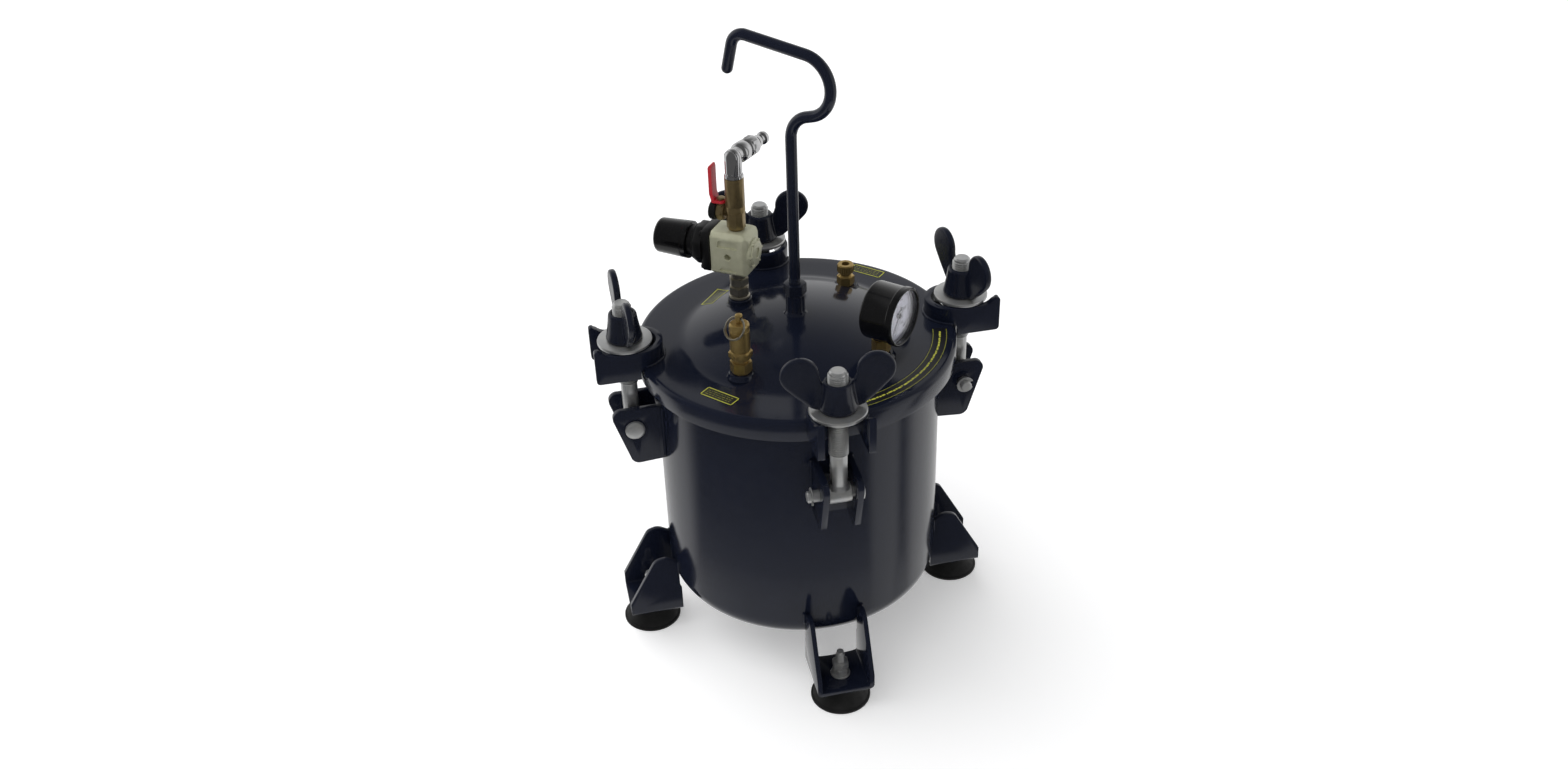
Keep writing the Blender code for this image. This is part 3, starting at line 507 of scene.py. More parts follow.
def makeLug():
    c = clamp
    half, end, low, seat, top = c["lugHalf"], c["lugEnd"], c["lugFoot"], c["seatZ"], lid["top"]
    inner = half - c["lugThick"]
    outline = [(end, -half), (end, -inner)] + bend(c["bendR"], 0, inner, -90, -270, 28)
    outline += [(end, inner), (end, half)] + bend(c["bendR"], 0, half, 90, 270, 32)
    bar = slab("lidLug", outline, low - 2, 310)
    side = [(lid["r"] + 0.3, low)] + bend(end - 3.2, low + 3.2, 3.2, -90, 0, 5)
    side += bend(end - 2.4, 303.6, 2.4, 0, 150, 7) + bend(158.5, seat + 11.5, 11.5, -40, -90, 6)
    side += [(110, seat), (110, top - 0.4), (lid["r"] - 3, top - 0.4), (lid["r"] - 1, top - 2),
            (lid["r"] + 0.3, top - 5)]
    cut(bar, sideSlab("profile", side, 30), "INTERSECT")
    return smooth(roundEdges(bar, 0.7, 3, 40), 35)


def makeClevis():
    c = clamp
    out = c["earIn"] + c["earThick"]
    ears = []
    outline = [(c["r"] - 26, 241)] + bend(156.5, 233.5, 7.5, 84, -14, 8)
    outline += bend(144.0, 194.0, 7.8, -22, -92, 6) + [(c["r"] - 26, 188)]
    for way in (1, -1):
        ear = sideSlab("ear", outline, c["earThick"] / 2)
        ears.append(fixPlace(ear, move=(0, way * (c["earIn"] + c["earThick"] / 2), 0)))
    web = slab("web", [(120, -out), (126.0, -out), (126.0, out), (120, out)], 188.2, 240.8)
    clevis = cut(cut(ears[0], ears[1], "UNION"), web, "UNION")
    cut(clevis, rod("wall", tank["r"] - 0.1, 150, 260, 144))
    bore = fixPlace(rod("bore", c["pinR"] + 0.35, -30, 30, 40), turn=(90, 0, 0))
    cut(clevis, fixPlace(bore, move=(c["r"], 0, c["pinZ"])))
    clevis.name = "tankClevis"
    return smooth(roundEdges(clevis, 0.8, 3, 40), 35)


def makePin():
    out = clamp["earIn"] + clamp["earThick"]
    tail = -out - 10
    outline = [(0, tail), (4.0, tail), (5, tail + 1), (5, tail + 3.2), (4.2, tail + 3.4), (4.2, tail + 4.4),
            (5, tail + 4.6), (5, out + 0.3), (8.2, out + 0.3), (8.6, out + 0.7), (8.6, out + 2.2)]
    outline += [(8.2, out + 2.9), (7.0, out + 3.5), (4.6, out + 3.9), (2.2, out + 4.05), (0, out + 4.1)]
    pin = spinPiece("clevisPin", outline, 48, 35)
    clip = spinPiece("clip", [(4.3, tail + 3.5), (7.4, tail + 3.5), (7.6, tail + 3.7), (7.6, tail + 4.1),
            (7.4, tail + 4.3), (4.3, tail + 4.3), (4.3, tail + 3.5)], 40)
    cut(clip, slab("gap", [(0, -2.2), (12, -3.4), (12, 3.4), (0, 2.2)], tail, tail + 6))
    pin = together([pin, smooth(clip, 30)], "clevisPin")
    fixPlace(pin, turn=(-90, 0, 0))
    return fixPlace(pin, move=(clamp["r"], 0, clamp["pinZ"]))


def makeBolt():
    c = clamp
    rise = c["boltTop"] - c["pinZ"]
    outline = [(0, 3), (6.6, 3), (7, 4), (7, 36), (6.9, 38)] + threadLine(8, 38.6, rise - 2.2, 2.0, 1.05)
    outline += [(6.9, rise - 1.4), (5.6, rise), (0, rise)]
    bolt = spinPiece("swingBolt", outline, 56, 25)
    barrel = rod("barrel", 8.2, -9.75, 9.75, 48, 0.7)
    fixPlace(barrel, turn=(90, 0, 0))
    cut(barrel, fixPlace(rod("bore", c["pinR"] + 0.3, -20, 20, 40), turn=(90, 0, 0)))
    bead = spinPiece("bead", [(6.8, 7.0), (9.2, 6.2), (8.6, 7.9), (7.5, 9.3), (6.9, 10.2), (6.8, 7.0)], 48)
    cut(bolt, fixPlace(rod("clear", c["pinR"] + 0.3, -20, 20, 40), turn=(90, 0, 0)))
    bolt = together([bolt, smooth(barrel, 30), smooth(bead, 60)], "swingBolt")
    return fixPlace(bolt, move=(c["r"], 0, c["pinZ"]))


def makeWasher():
    c = clamp
    low, top, r = c["washerLow"], c["washerTop"], c["washerR"]
    outline = [(8.5, low), (r - 0.7, low)] + bend(r - 0.6, low + 0.6, 0.6, -70, 0, 2)
    outline += bend(r - 0.9, top - 0.9, 0.9, 0, 90, 3) + [(9.0, top), (8.5, top - 0.4), (8.5, low)]
    return fixPlace(spinPiece("clampWasher", outline, 72), move=(c["r"], 0, 0))


def makeWingNut():
    low, high = clamp["washerTop"] + 0.3, wing["top"]
    hub = spinPiece("wingNut", [(0, low), (14.6, low), (15.4, low + 0.9), (15.3, low + 2.2),
            (14.3, low + 6), (12.6, high - 8), (11.8, high - 1.5), (11.0, high - 0.3), (10.2, high),
            (0, high)], 48)
    for way in (1, -1):
        paddle = [(6, low + 1), (17, low + 0.8), (21, low + 2.4), (33, low + 13.5)] + bend(29.6, 335.5,
                wing["paddleR"], -42, 186, 22)
        paddle += [(13.2, 330), (11.6, high - 2), (6, high - 2.4)]
        blade = sideSlab("blade", [(way * x, z) for x, z in paddle], wing["half"])
        cut(hub, roundEdges(blade, 1.9, 3, 50), "UNION")
    modify(hub, "REMESH", mode="VOXEL", voxel_size=wing["grain"] * mm, adaptivity=0.0)
    modify(hub, "SMOOTH", factor=0.6, iterations=9)
    cut(hub, rod("under", 40, low - 6, low, 24))
    cut(hub, rod("bore", wing["bore"], low - 3, high + 3, 48))
    cut(hub, spinPiece("mouth", [(0, high - 1.3), (8.2, high - 1.3), (9.6, high + 0.2), (9.6, high + 2),
            (0, high + 2)], 48))
    return smooth(hub, 35)


def sideWelds(name, half, out, gap, heights, r):  # a bead down each outer side of a plate on the tank
    x = math.sqrt(tank["r"] ** 2 - half ** 2) + out
    return together([beadAlong("weld", [(x, way * (half + gap), z) for z in heights], r)
            for way in (1, -1)], name)


def placeRound(models, rides):  # a copy of each model at every side, then the models go
    for side, angle in sides.items():
        for name, model in models.items():
            body, nodeName, finish = rides[name]
            if name == "wingNut":  # each nut has stopped at its own turn
                twin = copyPiece(model, name + side.capitalize(), wing["turns"][side])
                fixPlace(twin, move=(*spot((clamp["r"], angle)), 0))
            else:
                twin = copyPiece(model, name + side.capitalize(), angle)
            nodes = [nodeName + side] if nodeName else []
            dress(twin, finish, body if body == "root" else body + side, *nodes)
    for model in models.values():
        bpy.data.objects.remove(model, do_unlink=True)


def makeClamps():
    models = {"lidLug": makeLug(), "tankClevis": makeClevis(), "clevisPin": makePin(),
            "swingBolt": makeBolt(), "clampWasher": makeWasher()}
    nut = makeWingNut()
    models["clevisWeld"] = sideWelds("clevisWeld", clamp["earIn"] + clamp["earThick"], 0.4, 0.4,
            (190, 239.5), clamp["weld"])
    lugWeld = [(x, y, lid["top"] + 0.3) for x, y in bend(clamp["bendR"], 0, clamp["lugHalf"] + 0.5, 104,
            256, 22)]
    models["lugWeld"] = beadAlong("lugWeld", lugWeld, clamp["lugWeld"])
    models["wingNut"] = nut
    placeRound(models, {"lidLug": ("root", "lid_lug_", "navyPaint"), "tankClevis": ("root", "tank_clevis_",
            "navyPaint"), "clevisPin": ("root", "clevis_pin_", "zinc"), "swingBolt": ("swing_bolt_",
            "swing_bolt_", "zinc"), "clampWasher": ("clamp_washer_", "clamp_washer_", "zinc"),
            "clevisWeld": ("root", "", "navyPaint"), "lugWeld": ("root", "", "navyPaint"),
            "wingNut": ("wing_nut_", "wing_nut_", "castPaint")})


makeClamps()
print("clamps made")


# feet, drawn at the right-hand side and copied round

foot = {"r": 145.0, "half": 25.0, "thick": 4.0, "base": 20.0, "cupR": 26.0, "studR": 4.0, "weld": 1.4}


def makeBracket():
    f = foot
    inner, base = f["half"] - f["thick"], f["base"]
    half, floor = f["half"], base + f["thick"]
    section = [(-half, 95)] + bend(-half + 4.5, base + 4.5, 4.5, 180, 270, 5)
    section += bend(half - 4.5, base + 4.5, 4.5, 270, 360, 5) + [(half, 95), (inner, 95)]
    section += bend(inner - 1.5, floor + 1.5, 1.5, 0, -90, 3)
    section += bend(-inner + 1.5, floor + 1.5, 1.5, -90, -180, 3) + [(-inner, 95)]
    channel = slab("footBracket", section, 100, 180)
    for turn in ((90, 0, 0), (0, 0, 90)):
        fixPlace(channel, turn=turn)
    side = [(f["r"] - 30, base - 3)] + bend(163.5, base + 0.5, 2.5, -90, 0, 3) + [(166, base + 15)]
    side += softCorners([(166, base + 15), (141, 80), (131, 82.4), (121, 76.5)], 4)[5:-5] + [(115, 73)]
    cut(channel, sideSlab("profile", side, 40), "INTERSECT")
    cut(channel, rod("wall", tank["r"] - 0.1, 47, 120, 144))
    cut(channel, rod("rear", 121.0, 0, 60, 144))
    cut(channel, fixPlace(rod("hole", 4.5, 0, 40, 32), move=(f["r"], 0, 0)))
    return smooth(roundEdges(channel, 0.6, 2, 40), 35)


def makeCup():
    f = foot
    top = f["base"] - 0.3
    outline = [(0, 5.2), (10, 4.8), (16, 3.4), (20, 1.5), (23, 0.05), (f["cupR"] - 0.4, 0.0),
            (f["cupR"], 0.5), (f["cupR"], 1.9), (f["cupR"] - 0.6, 2.5), (f["cupR"] - 1.8, 2.9),
            (f["cupR"] - 2.6, 4.0), (21.2, 6.0), (18.6, 8.4), (16.4, 10.8), (14.6, 13.4), (14.2, 14.2),
            (15.2, 14.8), (15.6, 15.8), (15.0, 16.8), (13.4, 17.3), (12.9, 18.0), (12.6, top - 0.5),
            (12.1, top), (4.4, top), (4.4, 9.2), (0, 9.2)]
    return fixPlace(spinPiece("suctionCup", outline, 72, 25), move=(f["r"], 0, 0))


def makeStud():
    f = foot
    low = f["base"] + f["thick"] + 0.2
    stud = spinPiece("stud", [(0, 9.6), (3.4, 9.6)] + threadLine(f["studR"], 10.0, 48.6, 1.25, 0.62)
            + [(3.0, 50), (0, 50)], 40, 25)
    washer = spinPiece("washer", [(4.3, low), (8.4, low), (8.6, low + 0.3), (8.6, low + 1.3),
            (8.3, low + 1.6), (4.3, low + 1.6), (4.3, low)], 48)
    lower = hexNut("lower", 13, low + 1.7, low + 8.1, 3.9, 10)
    upper = hexNut("upper", 13, low + 8.3, low + 14.6, 3.9, 28)
    return fixPlace(together([stud, washer, lower, upper], "footStud"), move=(f["r"], 0, 0))


def makeFeet():
    models = {"footBracket": makeBracket(), "suctionCup": makeCup(), "footStud": makeStud()}
    models["footWeld"] = sideWelds("footWeld", foot["half"], 0.3, 0.5, (66, 76.5), foot["weld"])
    placeRound(models, {"footBracket": ("root", "foot_bracket_", "navyPaint"),
            "suctionCup": ("root", "suction_cup_", "rubber"), "footStud": ("root", "foot_stud_", "zinc"),
            "footWeld": ("root", "", "navyPaint")})


makeFeet()
print("feet made")


# lifting hook

hook = {"plane": -49.0, "rodR": 4.75, "straightZ": 464.3, "bends": ((22.0, 72.0, 6.5), (25.0, -157.5, 57.7),
        (13.5, -80.0, 21.5)), "tip": ((1.6, 0.94), (3.0, 0.78), (4.0, 0.52), (4.5, 0.22)), "bossTop": 324.0,
        "nutTop": 334.0}


def hookLine():
    points = [(0.0, 308.0), (0.0, 380.0), (0.0, hook["straightZ"])]
    s, z, heading = 0.0, hook["straightZ"], 0.0
    for radius, turn, straight in hook["bends"]:
        way = math.copysign(1, turn)
        cx, cz = s + way * radius * math.cos(heading), z - way * radius * math.sin(heading)
        steps = int(abs(turn) / 5)
        for i in range(1, steps + 1):
            a = heading + math.radians(turn) * i / steps
            points.append((cx - way * radius * math.cos(a), cz + way * radius * math.sin(a)))
        heading += math.radians(turn)
        s, z = points[-1]
        s, z = s + straight * math.sin(heading), z + straight * math.cos(heading)
        points.append((s, z))
    return points


def makeHook():
    line = [Vector((s, 0, z)) for s, z in hookLine()]
    along = (line[-1] - line[-2]).normalized()
    sizes = [1.0] * len(line) + [size for push, size in hook["tip"]]
    line += [line[-1] + along * push for push, size in hook["tip"]]
    piece = fixPlace(wire("liftingHook", line, sizes, hook["rodR"], 6), turn=(0, 0, hook["plane"]))
    dress(smooth(piece, 50), "navyPaint", "root", "lid_hook")
    top = hook["bossTop"]
    outline = [(5.0, 304.5), (11.5, 304.5), (10.0, 306.0), (8.7, 307.6), (8.2, 309), (8.2, top - 1.0),
            (7.4, top), (5.0, top), (5.0, 304.5)]
    dress(spinPiece("hookBoss", outline, 48), "navyPaint", "root", "hook_boss")
    nut = hexNut("hookLockNut", 17, top + 0.3, hook["nutTop"], 5.0, hook["plane"] + 8)
    dress(nut, "castPaint", "root", "hook_lock_nut")
    end = hook["nutTop"] + 5.5
    outline = [(4.2, top - 1), (4.6, top - 1)] + threadLine(5.15, top - 0.5, end, 1.5, 0.45)
    thread = spinPiece("hookThread", outline + [(4.2, end + 0.1), (4.2, top - 1)], 40, 25)
    dress(thread, "navyPaint", "root")


makeHook()
print("hook made")


# regulator: +X along the knob, then turned and moved on its port

reg = {"at": (57.0, 135.0), "turn": 145.0, "body": (34.0, 29.0, 38.5), "low": 331.5, "shift": 2.0,
        "knobZ": 352.0, "knobStart": 42.5, "knobEnd": 73.5, "knobR": 15.0, "grips": 24, "pillarLow": 370.3,
        "pillarTop": 417.0, "split": 388.0, "valveZ": 384.3, "stemOut": 13.0}


def onRegulator(piece):  # carries a piece drawn round the regulator's own axis to its place
    fixPlace(piece, turn=(0, 0, reg["turn"]))
    return fixPlace(piece, move=(*spot(reg["at"]), 0))


def layAlongX(piece, z=0.0):
    fixPlace(piece, turn=(0, 90, 0))
    return fixPlace(piece, move=(0, 0, z))


def makeNipple():
    seat = ports["Reg"][2]
    low, top = seat + 0.3, reg["low"] - 0.2
    core = spinPiece("core", shank(seat) + [(8.8, low), (9.0, low + 0.3), (9.0, low + 1.8),
            (8.2, low + 2.6), (7.0, low + 3.0), (6.6, 316), (6.9, 316.6), (6.9, top), (0, top)], 48)
    lower = hexNut("lower", 16, 308.3, 315.8, 0, 20)
    upper = hexNut("upper", 15, 317.4, 324.2, 0, 35)
    nipple = onRegulator(together([core, lower, upper], "regulatorNipple"))
    dress(nipple, "nickel", "root", "regulator_nipple")


def makeRegulatorBody():
    length, width, height = reg["body"]
    low, high = reg["low"], reg["low"] + height
    back, front = reg["shift"] - length / 2, reg["shift"] + length / 2
    mid, side = low + height / 2, width / 2
    body = slab("regulatorBody", [(back, -side + 4), (back + 4, -side), (front, -side), (front, side),
            (back + 4, side), (back, side - 4)], low, high)
    trim = [(back - 1, low + 4), (back + 3.5, low - 0.5), (front + 1, low - 0.5), (front + 1, high + 0.5),
            (back + 5, high + 0.5), (back - 1, high - 6)]
    cut(body, sideSlab("trim", trim, 30), "INTERSECT")
    trim = [(-side - 1, low + 3.2), (-side + 3, low - 0.5), (side - 3, low - 0.5), (side + 1, low + 3.2),
            (side + 1, high - 5), (side - 4.4, high + 0.5), (-side + 4.4, high + 0.5),
            (-side - 1, high - 5)]
    cut(body, fixPlace(sideSlab("trim", trim, 30), turn=(0, 0, 90)), "INTERSECT")
    tidyFaces(roundEdges(body, 1.0, 3, 20))
    for face in (-1, 1):
        for zLow, zHigh, wide in ((low + 3.6, low + 7.2, 8.0), (high - 13.0, high - 6.4, 9.5)):
            pocket = [(-wide, zLow), (wide, zLow), (wide - 1.8, zHigh), (-wide + 1.8, zHigh)]
            tool = sideSlab("pocket", softCorners(pocket, 1.2, 3), 2.0)
            cut(body, fixPlace(tool, move=(reg["shift"] + 1, face * (side + 0.5), 0)))
        well = spinPiece("well", [(0, -4), (2.9, -4), (2.9, 2.2), (4.2, 3.4), (4.2, 4.4), (0, 4.4)], 32)
        fixPlace(well, turn=(-90 * face, 0, 0))
        cut(body, fixPlace(well, move=(reg["shift"] + 1, face * (side - 2.6), mid - 2.0)))
    boss = spinPiece("boss", [(0, -4), (11.8, -4), (12.4, -3.2), (12.4, 0.8), (11.6, 1.8), (10.4, 2.1),
            (10.0, 3.0), (9.2, 3.4), (4.5, 3.4), (4.2, 2.2), (0, 2.2)], 48)
    fixPlace(boss, turn=(0, -90, 0))
    fixPlace(boss, move=(back, 0, mid - 0.5))
    ribs = []
    for i in range(6):
        rib = slab("rib", [(-3.0, -1.0), (3.0, -1.0), (3.0, 1.0), (-3.0, 1.0)], 8.4, 12.2)
        roundEdges(rib, 0.4, 2, 40)
        fixPlace(rib, turn=(60 * i + 30, 0, 0))
        ribs.append(fixPlace(rib, move=(back - 0.2, 0, mid - 0.5)))
    plug = spinPiece("plug", [(0, 0), (2.5, 0), (2.5, 1.0), (2.0, 1.4), (0.9, 1.4), (0.9, 0.8), (0, 0.8)], 24)
    fixPlace(plug, turn=(90, 0, 0))
    plug = fixPlace(plug, move=(reg["shift"] + 1, -side + 3.2, mid - 2.0))
    body = together([body, boss] + ribs, "regulatorBody")
    dress(onRegulator(smooth(body, 30)), "champagneCast", "root", "regulator_body")
    plug.name = "regulatorPortPlug"
    dress(onRegulator(plug), "nickel", "root")


def makeBonnet():
    length, width, height = reg["body"]
    start = reg["shift"] + length / 2 + 0.3
    flange = softCorners([(-height / 2 - 0.5, -width / 2 - 1), (height / 2 + 0.5, -width / 2 - 1),
            (height / 2 + 0.5, width / 2 + 1), (-height / 2 - 0.5, width / 2 + 1)], 7.0, 2)
    middle = reg["low"] + height / 2 - reg["knobZ"]
    flange = roundEdges(slab("flange", flange, start, start + 7.4), 0.8, 2, 20)
    fixPlace(flange, move=(-middle, 0, 0))
    neck = slab("neck", softCorners(bend(0, 0, 18.9, 22.5, 337.5, 7), 2.0, 3), start + 7.2, start + 15.2)
    roundEdges(neck, 1.0, 2, 40)
    collar = spinPiece("collar", [(0, start + 14), (15.4, start + 14), (15.8, start + 14.6),
            (15.8, start + 17.6), (15.0, start + 18.4), (13.2, start + 18.8),
            (13.2, reg["knobStart"] - 0.3), (0, reg["knobStart"] - 0.3)], 56)
    parts = [flange, neck, collar]
    for across, up in ((-11.5, -15.2), (11.5, -15.2), (-11.5, 15.2), (11.5, 15.2)):
        screw = spinPiece("screw", [(0, start + 7.3), (2.5, start + 7.3), (2.5, start + 8.9),
                (2.0, start + 9.4), (1.3, start + 9.4), (1.3, start + 8.3), (0, start + 8.3)], 24)
        parts.append(fixPlace(screw, move=(up - middle, across, 0)))
    for part in parts:
        smooth(part, 30)
    bonnet = layAlongX(together(parts, "regulatorBonnet"), reg["knobZ"])
    dress(onRegulator(bonnet), "blackPlastic", "root", "regulator_bonnet")


def makeKnob():
    s0, s1, r = reg["knobStart"], reg["knobEnd"], reg["knobR"]
    outline = [(0, s0), (r + 0.6, s0), (r + 1.2, s0 + 0.6), (r + 1.2, s0 + 3.6), (r + 0.8, s0 + 4.0),
            (r + 0.8, s0 + 4.8), (r + 1.1, s0 + 5.2), (r + 0.1, s1 - 4.4)]
    outline += bend(r - 3.0, s1 - 3.2, 3.1, 8, 84, 8) + [(r - 5.5, s1), (r - 6.2, s1 - 0.5), (0, s1 - 0.5)]
    knob = spinPiece("regulatorKnob", outline, 96, 28)
    lines = []
    for i in range(reg["grips"]):  # fine raised grip lines along the side
        rib = slab("rib", softCorners([(-0.3, -0.2), (0.3, -0.2), (0.2, 0.1), (-0.2, 0.1)], 0.1, 2),
                s0 + 6.0, s1 - 6.0)
        fixPlace(rib, turn=(1.9, 0, 0))
        fixPlace(rib, move=(0, r + 2.35, 0))
        lines.append(fixPlace(rib, turn=(0, 0, 360 / reg["grips"] * i)))
    knob = layAlongX(together([knob] + lines, "regulatorKnob"), reg["knobZ"])
    dress(onRegulator(knob), "blackGloss", "regulator_knob", "regulator_knob")


def makePillar():
    low, top, split = reg["pillarLow"], reg["pillarTop"], reg["split"]
    upper = spinPiece("upper", [(0, split - 2), (7.6, split - 2), (8.2, split - 1.2), (8.2, split + 3),
            (8.0, split + 3.4), (8.0, split + 4.2), (8.2, split + 4.6), (8.2, top - 0.8), (7.5, top),
            (0, top)], 56)
    lower = slab("lower", bend(0, 0, 8.1, 22.5, 337.5, 7), low + 1.4, split + 0.2)
    roundEdges(lower, 0.35, 2, 30)
    crests = threadLine(6.9, low, low + 1.6, 0.8, 0.5)
    thread = spinPiece("thread", [(0, low - 0.1), (6.4, low - 0.1)] + crests + [(0, low + 1.6)], 40)
    pillar = together([upper, smooth(lower, 30), thread], "inletPillar")
    dress(onRegulator(pillar), "dullBrass", "root", "inlet_pillar")


def makeBallValve():
    z, out = reg["valveZ"], reg["stemOut"]
    barrel = spinPiece("barrel", [(0, 7.8), (3.4, 7.8), (3.4, 9.2), (6.2, 9.2), (6.8, 9.8), (6.8, 11.0),
            (6.5, 11.4), (6.5, 15.4), (6.2, 15.9), (0, 15.9)], 48)
    layAlongX(barrel, z)
    hexa = layAlongX(hexNut("hexa", 13.6, 10.6, 15.4, 0, 0), z)
    stem = spinPiece("stem", [(0, z + 4), (4.0, z + 4), (4.0, z + 7.7), (3.6, z + 8.1), (2.2, z + 8.1),
            (2.2, z + 12.4), (1.8, z + 12.8), (0, z + 12.8)], 32)
    nut = hexNut("nut", 6.6, z + 10.9, z + 12.7, 0, 12)
    stem = fixPlace(together([stem, nut], "stem"), move=(out, 0, 0))
    body = together([barrel, hexa, stem], "ballValveBody")
    dress(onRegulator(body), "dullBrass", "root", "ball_valve_body")
    ring = [(0, 16.0), (7.2, 16.0), (8.0, 16.8), (8.0, 21.4), (7.4, 22.2), (6.4, 22.6), (5.0, 22.6),
            (4.6, 21.4), (0, 21.4)]
    ring = layAlongX(spinPiece("ballValveRing", ring, 48), z)
    dress(onRegulator(ring), "blackPlastic", "root")

    low = z + 8.4
    plan = softCorners(bend(0, 0, 4.4, 105, 255, 6) + [(3.0, -4.7), (6.6, -4.7), (6.6, 4.7), (3.0, 4.7)],
            1.4, 3)
    plate = slab("plate", plan, low, low + 2.3)
    strip = [(3.2, low), (6.4, low), (8.5, low + 8.0), (8.5, low + 31.2), (7.6, low + 33.2),
            (6.1, low + 33.2), (5.4, low + 31.2), (5.4, low + 8.8), (3.9, low + 2.4), (3.2, low + 2.3)]
    strip = sideSlab("strip", softCorners(strip, 1.1, 3), 4.6)
    lever = cut(plate, strip, "UNION")
    cut(lever, rod("hole", 2.4, low - 3, low + 6, 24))
    roundEdges(lever, 0.7, 3, 40)
    lever = fixPlace(lever, move=(out, 0, 0))
    lever.name = "ballValveLever"
    dress(onRegulator(smooth(lever, 40)), "redVinyl", "ball_valve_lever", "ball_valve_lever")


swivel = {"armZ": 435.5, "armTurn": 44.0}


def onSwivel(piece):
    fixPlace(piece, turn=(0, 0, swivel["armTurn"]))
    return fixPlace(piece, move=(*spot(reg["at"]), 0))


def makeSwivel():
    base, z = reg["pillarTop"] + 0.3, swivel["armZ"]
    post = spinPiece("post", [(0, base), (7.6, base), (8.1, base + 0.5), (8.1, base + 2.2),
            (7.6, base + 2.8), (6.6, base + 3.2), (6.6, base + 4.0), (7.3, base + 4.5), (7.3, z - 1)]
            + bend(0, z - 0.4, 7.3, 0, 90, 9)[1:], 56, 35)
    arm = spinPiece("arm", [(0, -4), (6.2, -4), (6.5, 2), (6.6, 6.6), (7.9, 7.6), (8.4, 8.6), (8.4, 15.6),
            (7.9, 16.6), (7.0, 17.2), (7.0, 18), (0, 18)], 56, 35)
    arm = layAlongX(arm, z)
    elbow = cut(post, arm, "UNION")
    elbow.name = "swivelElbow"
    dress(onSwivel(smooth(elbow, 35)), "chrome", "swivel_elbow", "swivel_elbow")
    plug = [(0, 18.3), (7.0, 18.3), (7.8, 19.0), (8.1, 19.8), (8.1, 28.0), (7.7, 29.2), (7.0, 30.6),
            (6.4, 31.8), (5.6, 33.0), (5.2, 36.2), (4.6, 37.4), (4.2, 38.2), (4.2, 40.8), (4.7, 41.6),
            (5.5, 42.2), (5.6, 44.2), (5.2, 45.4), (4.4, 46.4), (2.6, 46.4), (2.4, 44.5), (2.4, 30),
            (0, 30)]
    plug = layAlongX(spinPiece("quickPlug", plug, 56, 28), z)
    grip = layAlongX(hexNut("grip", 15.6, 20.4, 27.2, 0, 15), z)
    plug = together([plug, grip], "quickPlug")
    dress(onSwivel(plug), "chrome", "quick_connect_plug", "quick_connect_plug")


makeNipple()
makeRegulatorBody()
makeBonnet()
makeKnob()
makePillar()
makeBallValve()
makeSwivel()
print("regulator made")


# safety valve

safety = {"top": 338.0, "holeZ": 342.8, "ringR": 9.4, "wireR": 0.85, "lean": 57.0, "turn": 215.0}


def onPort(piece, name, turn=0.0):
    fixPlace(piece, turn=(0, 0, turn))
    return fixPlace(piece, move=(*spot(ports[name]), 0))


def makeSafetyValve():
    seat, top, hole = ports["Safety"][2], safety["top"], safety["holeZ"]
    core = shank(seat) + [(7.6, seat + 0.3), (7.8, seat + 0.7), (7.8, seat + 1.2), (6.4, 302.6),
            (6.2, 303.4), (6.2, 305.4), (6.6, 305.9), (8.6, 306.2), (8.9, 306.8), (8.9, 311.4),
            (8.5, 312.4), (7.9, 312.8), (7.9, 313.4), (8.3, 313.9), (8.3, 331.4), (8.05, 331.7),
            (8.05, 332.3), (8.3, 332.6), (8.3, top - 1.8), (7.7, top - 0.6), (6.8, top), (2.6, top),
            (2.6, top - 6), (0, top - 6)]
    body = together([spinPiece("core", core, 64, 25), hexNut("base", 16, seat + 1.2, 302.8, 0, 10),
            hexNut("collar", 17.4, 306.4, 311.8, 0, 25)], "safetyValveBody")
    dress(onPort(body, "Safety"), "brass", "root", "safety_valve_body")
    stem = spinPiece("safetyStem", [(0, top - 5.6), (2.3, top - 5.6), (2.3, hole - 3.6), (2.9, hole - 3.2),
            (3.2, hole - 2.6), (3.2, hole + 1.6), (2.8, hole + 2.6), (1.8, hole + 3.0), (0, hole + 3.0)],
            40)
    across = fixPlace(fixPlace(rod("across", 1.6, -9, 9, 24), turn=(90, 0, 0)), move=(0, 0, hole))
    cut(stem, across)
    dress(onPort(smooth(roundEdges(stem, 0.2, 2, 50), 35), "Safety", safety["turn"]), "brass",
            "safety_stem", "safety_valve_stem")
    deselectAll()
    r = safety["ringR"]
    bpy.ops.mesh.primitive_torus_add(major_radius=r * mm, minor_radius=safety["wireR"] * mm,
            major_segments=96, minor_segments=16)
    ring = fixPlace(bpy.context.object, move=(r, 0, 0))
    overlap = [(x, y, 1.3) for x, y in bend(r, 0, r, -70, 56, 21)]
    ring = together([ring, beadAlong("second", overlap, 0.7)], "pullRing")
    fixPlace(ring, turn=(0, safety["lean"], 0))
    fixPlace(ring, move=(0, 0, hole))
    dress(smooth(onPort(ring, "Safety", safety["turn"]), 60), "nickel", "pull_ring", "safety_pull_ring",
            slot="zinc")


makeSafetyValve()
print("safety valve made")


# gauge: +X outwards from the dial, then turned to its place

gauge = {"turn": -45.0, "r": 24.8, "z": 330.7, "near": 74.6, "far": 104.9, "rest": 35.0, "sweep": 290.0,
         "marks": 50, "markEnd": 19.8, "numberR": 13.2, "numberHigh": 3.6}


def onGauge(piece):
    return fixPlace(piece, turn=(0, 0, gauge["turn"]))


def flatOnDial(piece, out):  # a flat drawing seen from the front: x to the right, y up
    fixPlace(piece, turn=(90, 0, 0))
    fixPlace(piece, turn=(0, 0, 90))
    return fixPlace(piece, move=(out, 0, gauge["z"]))


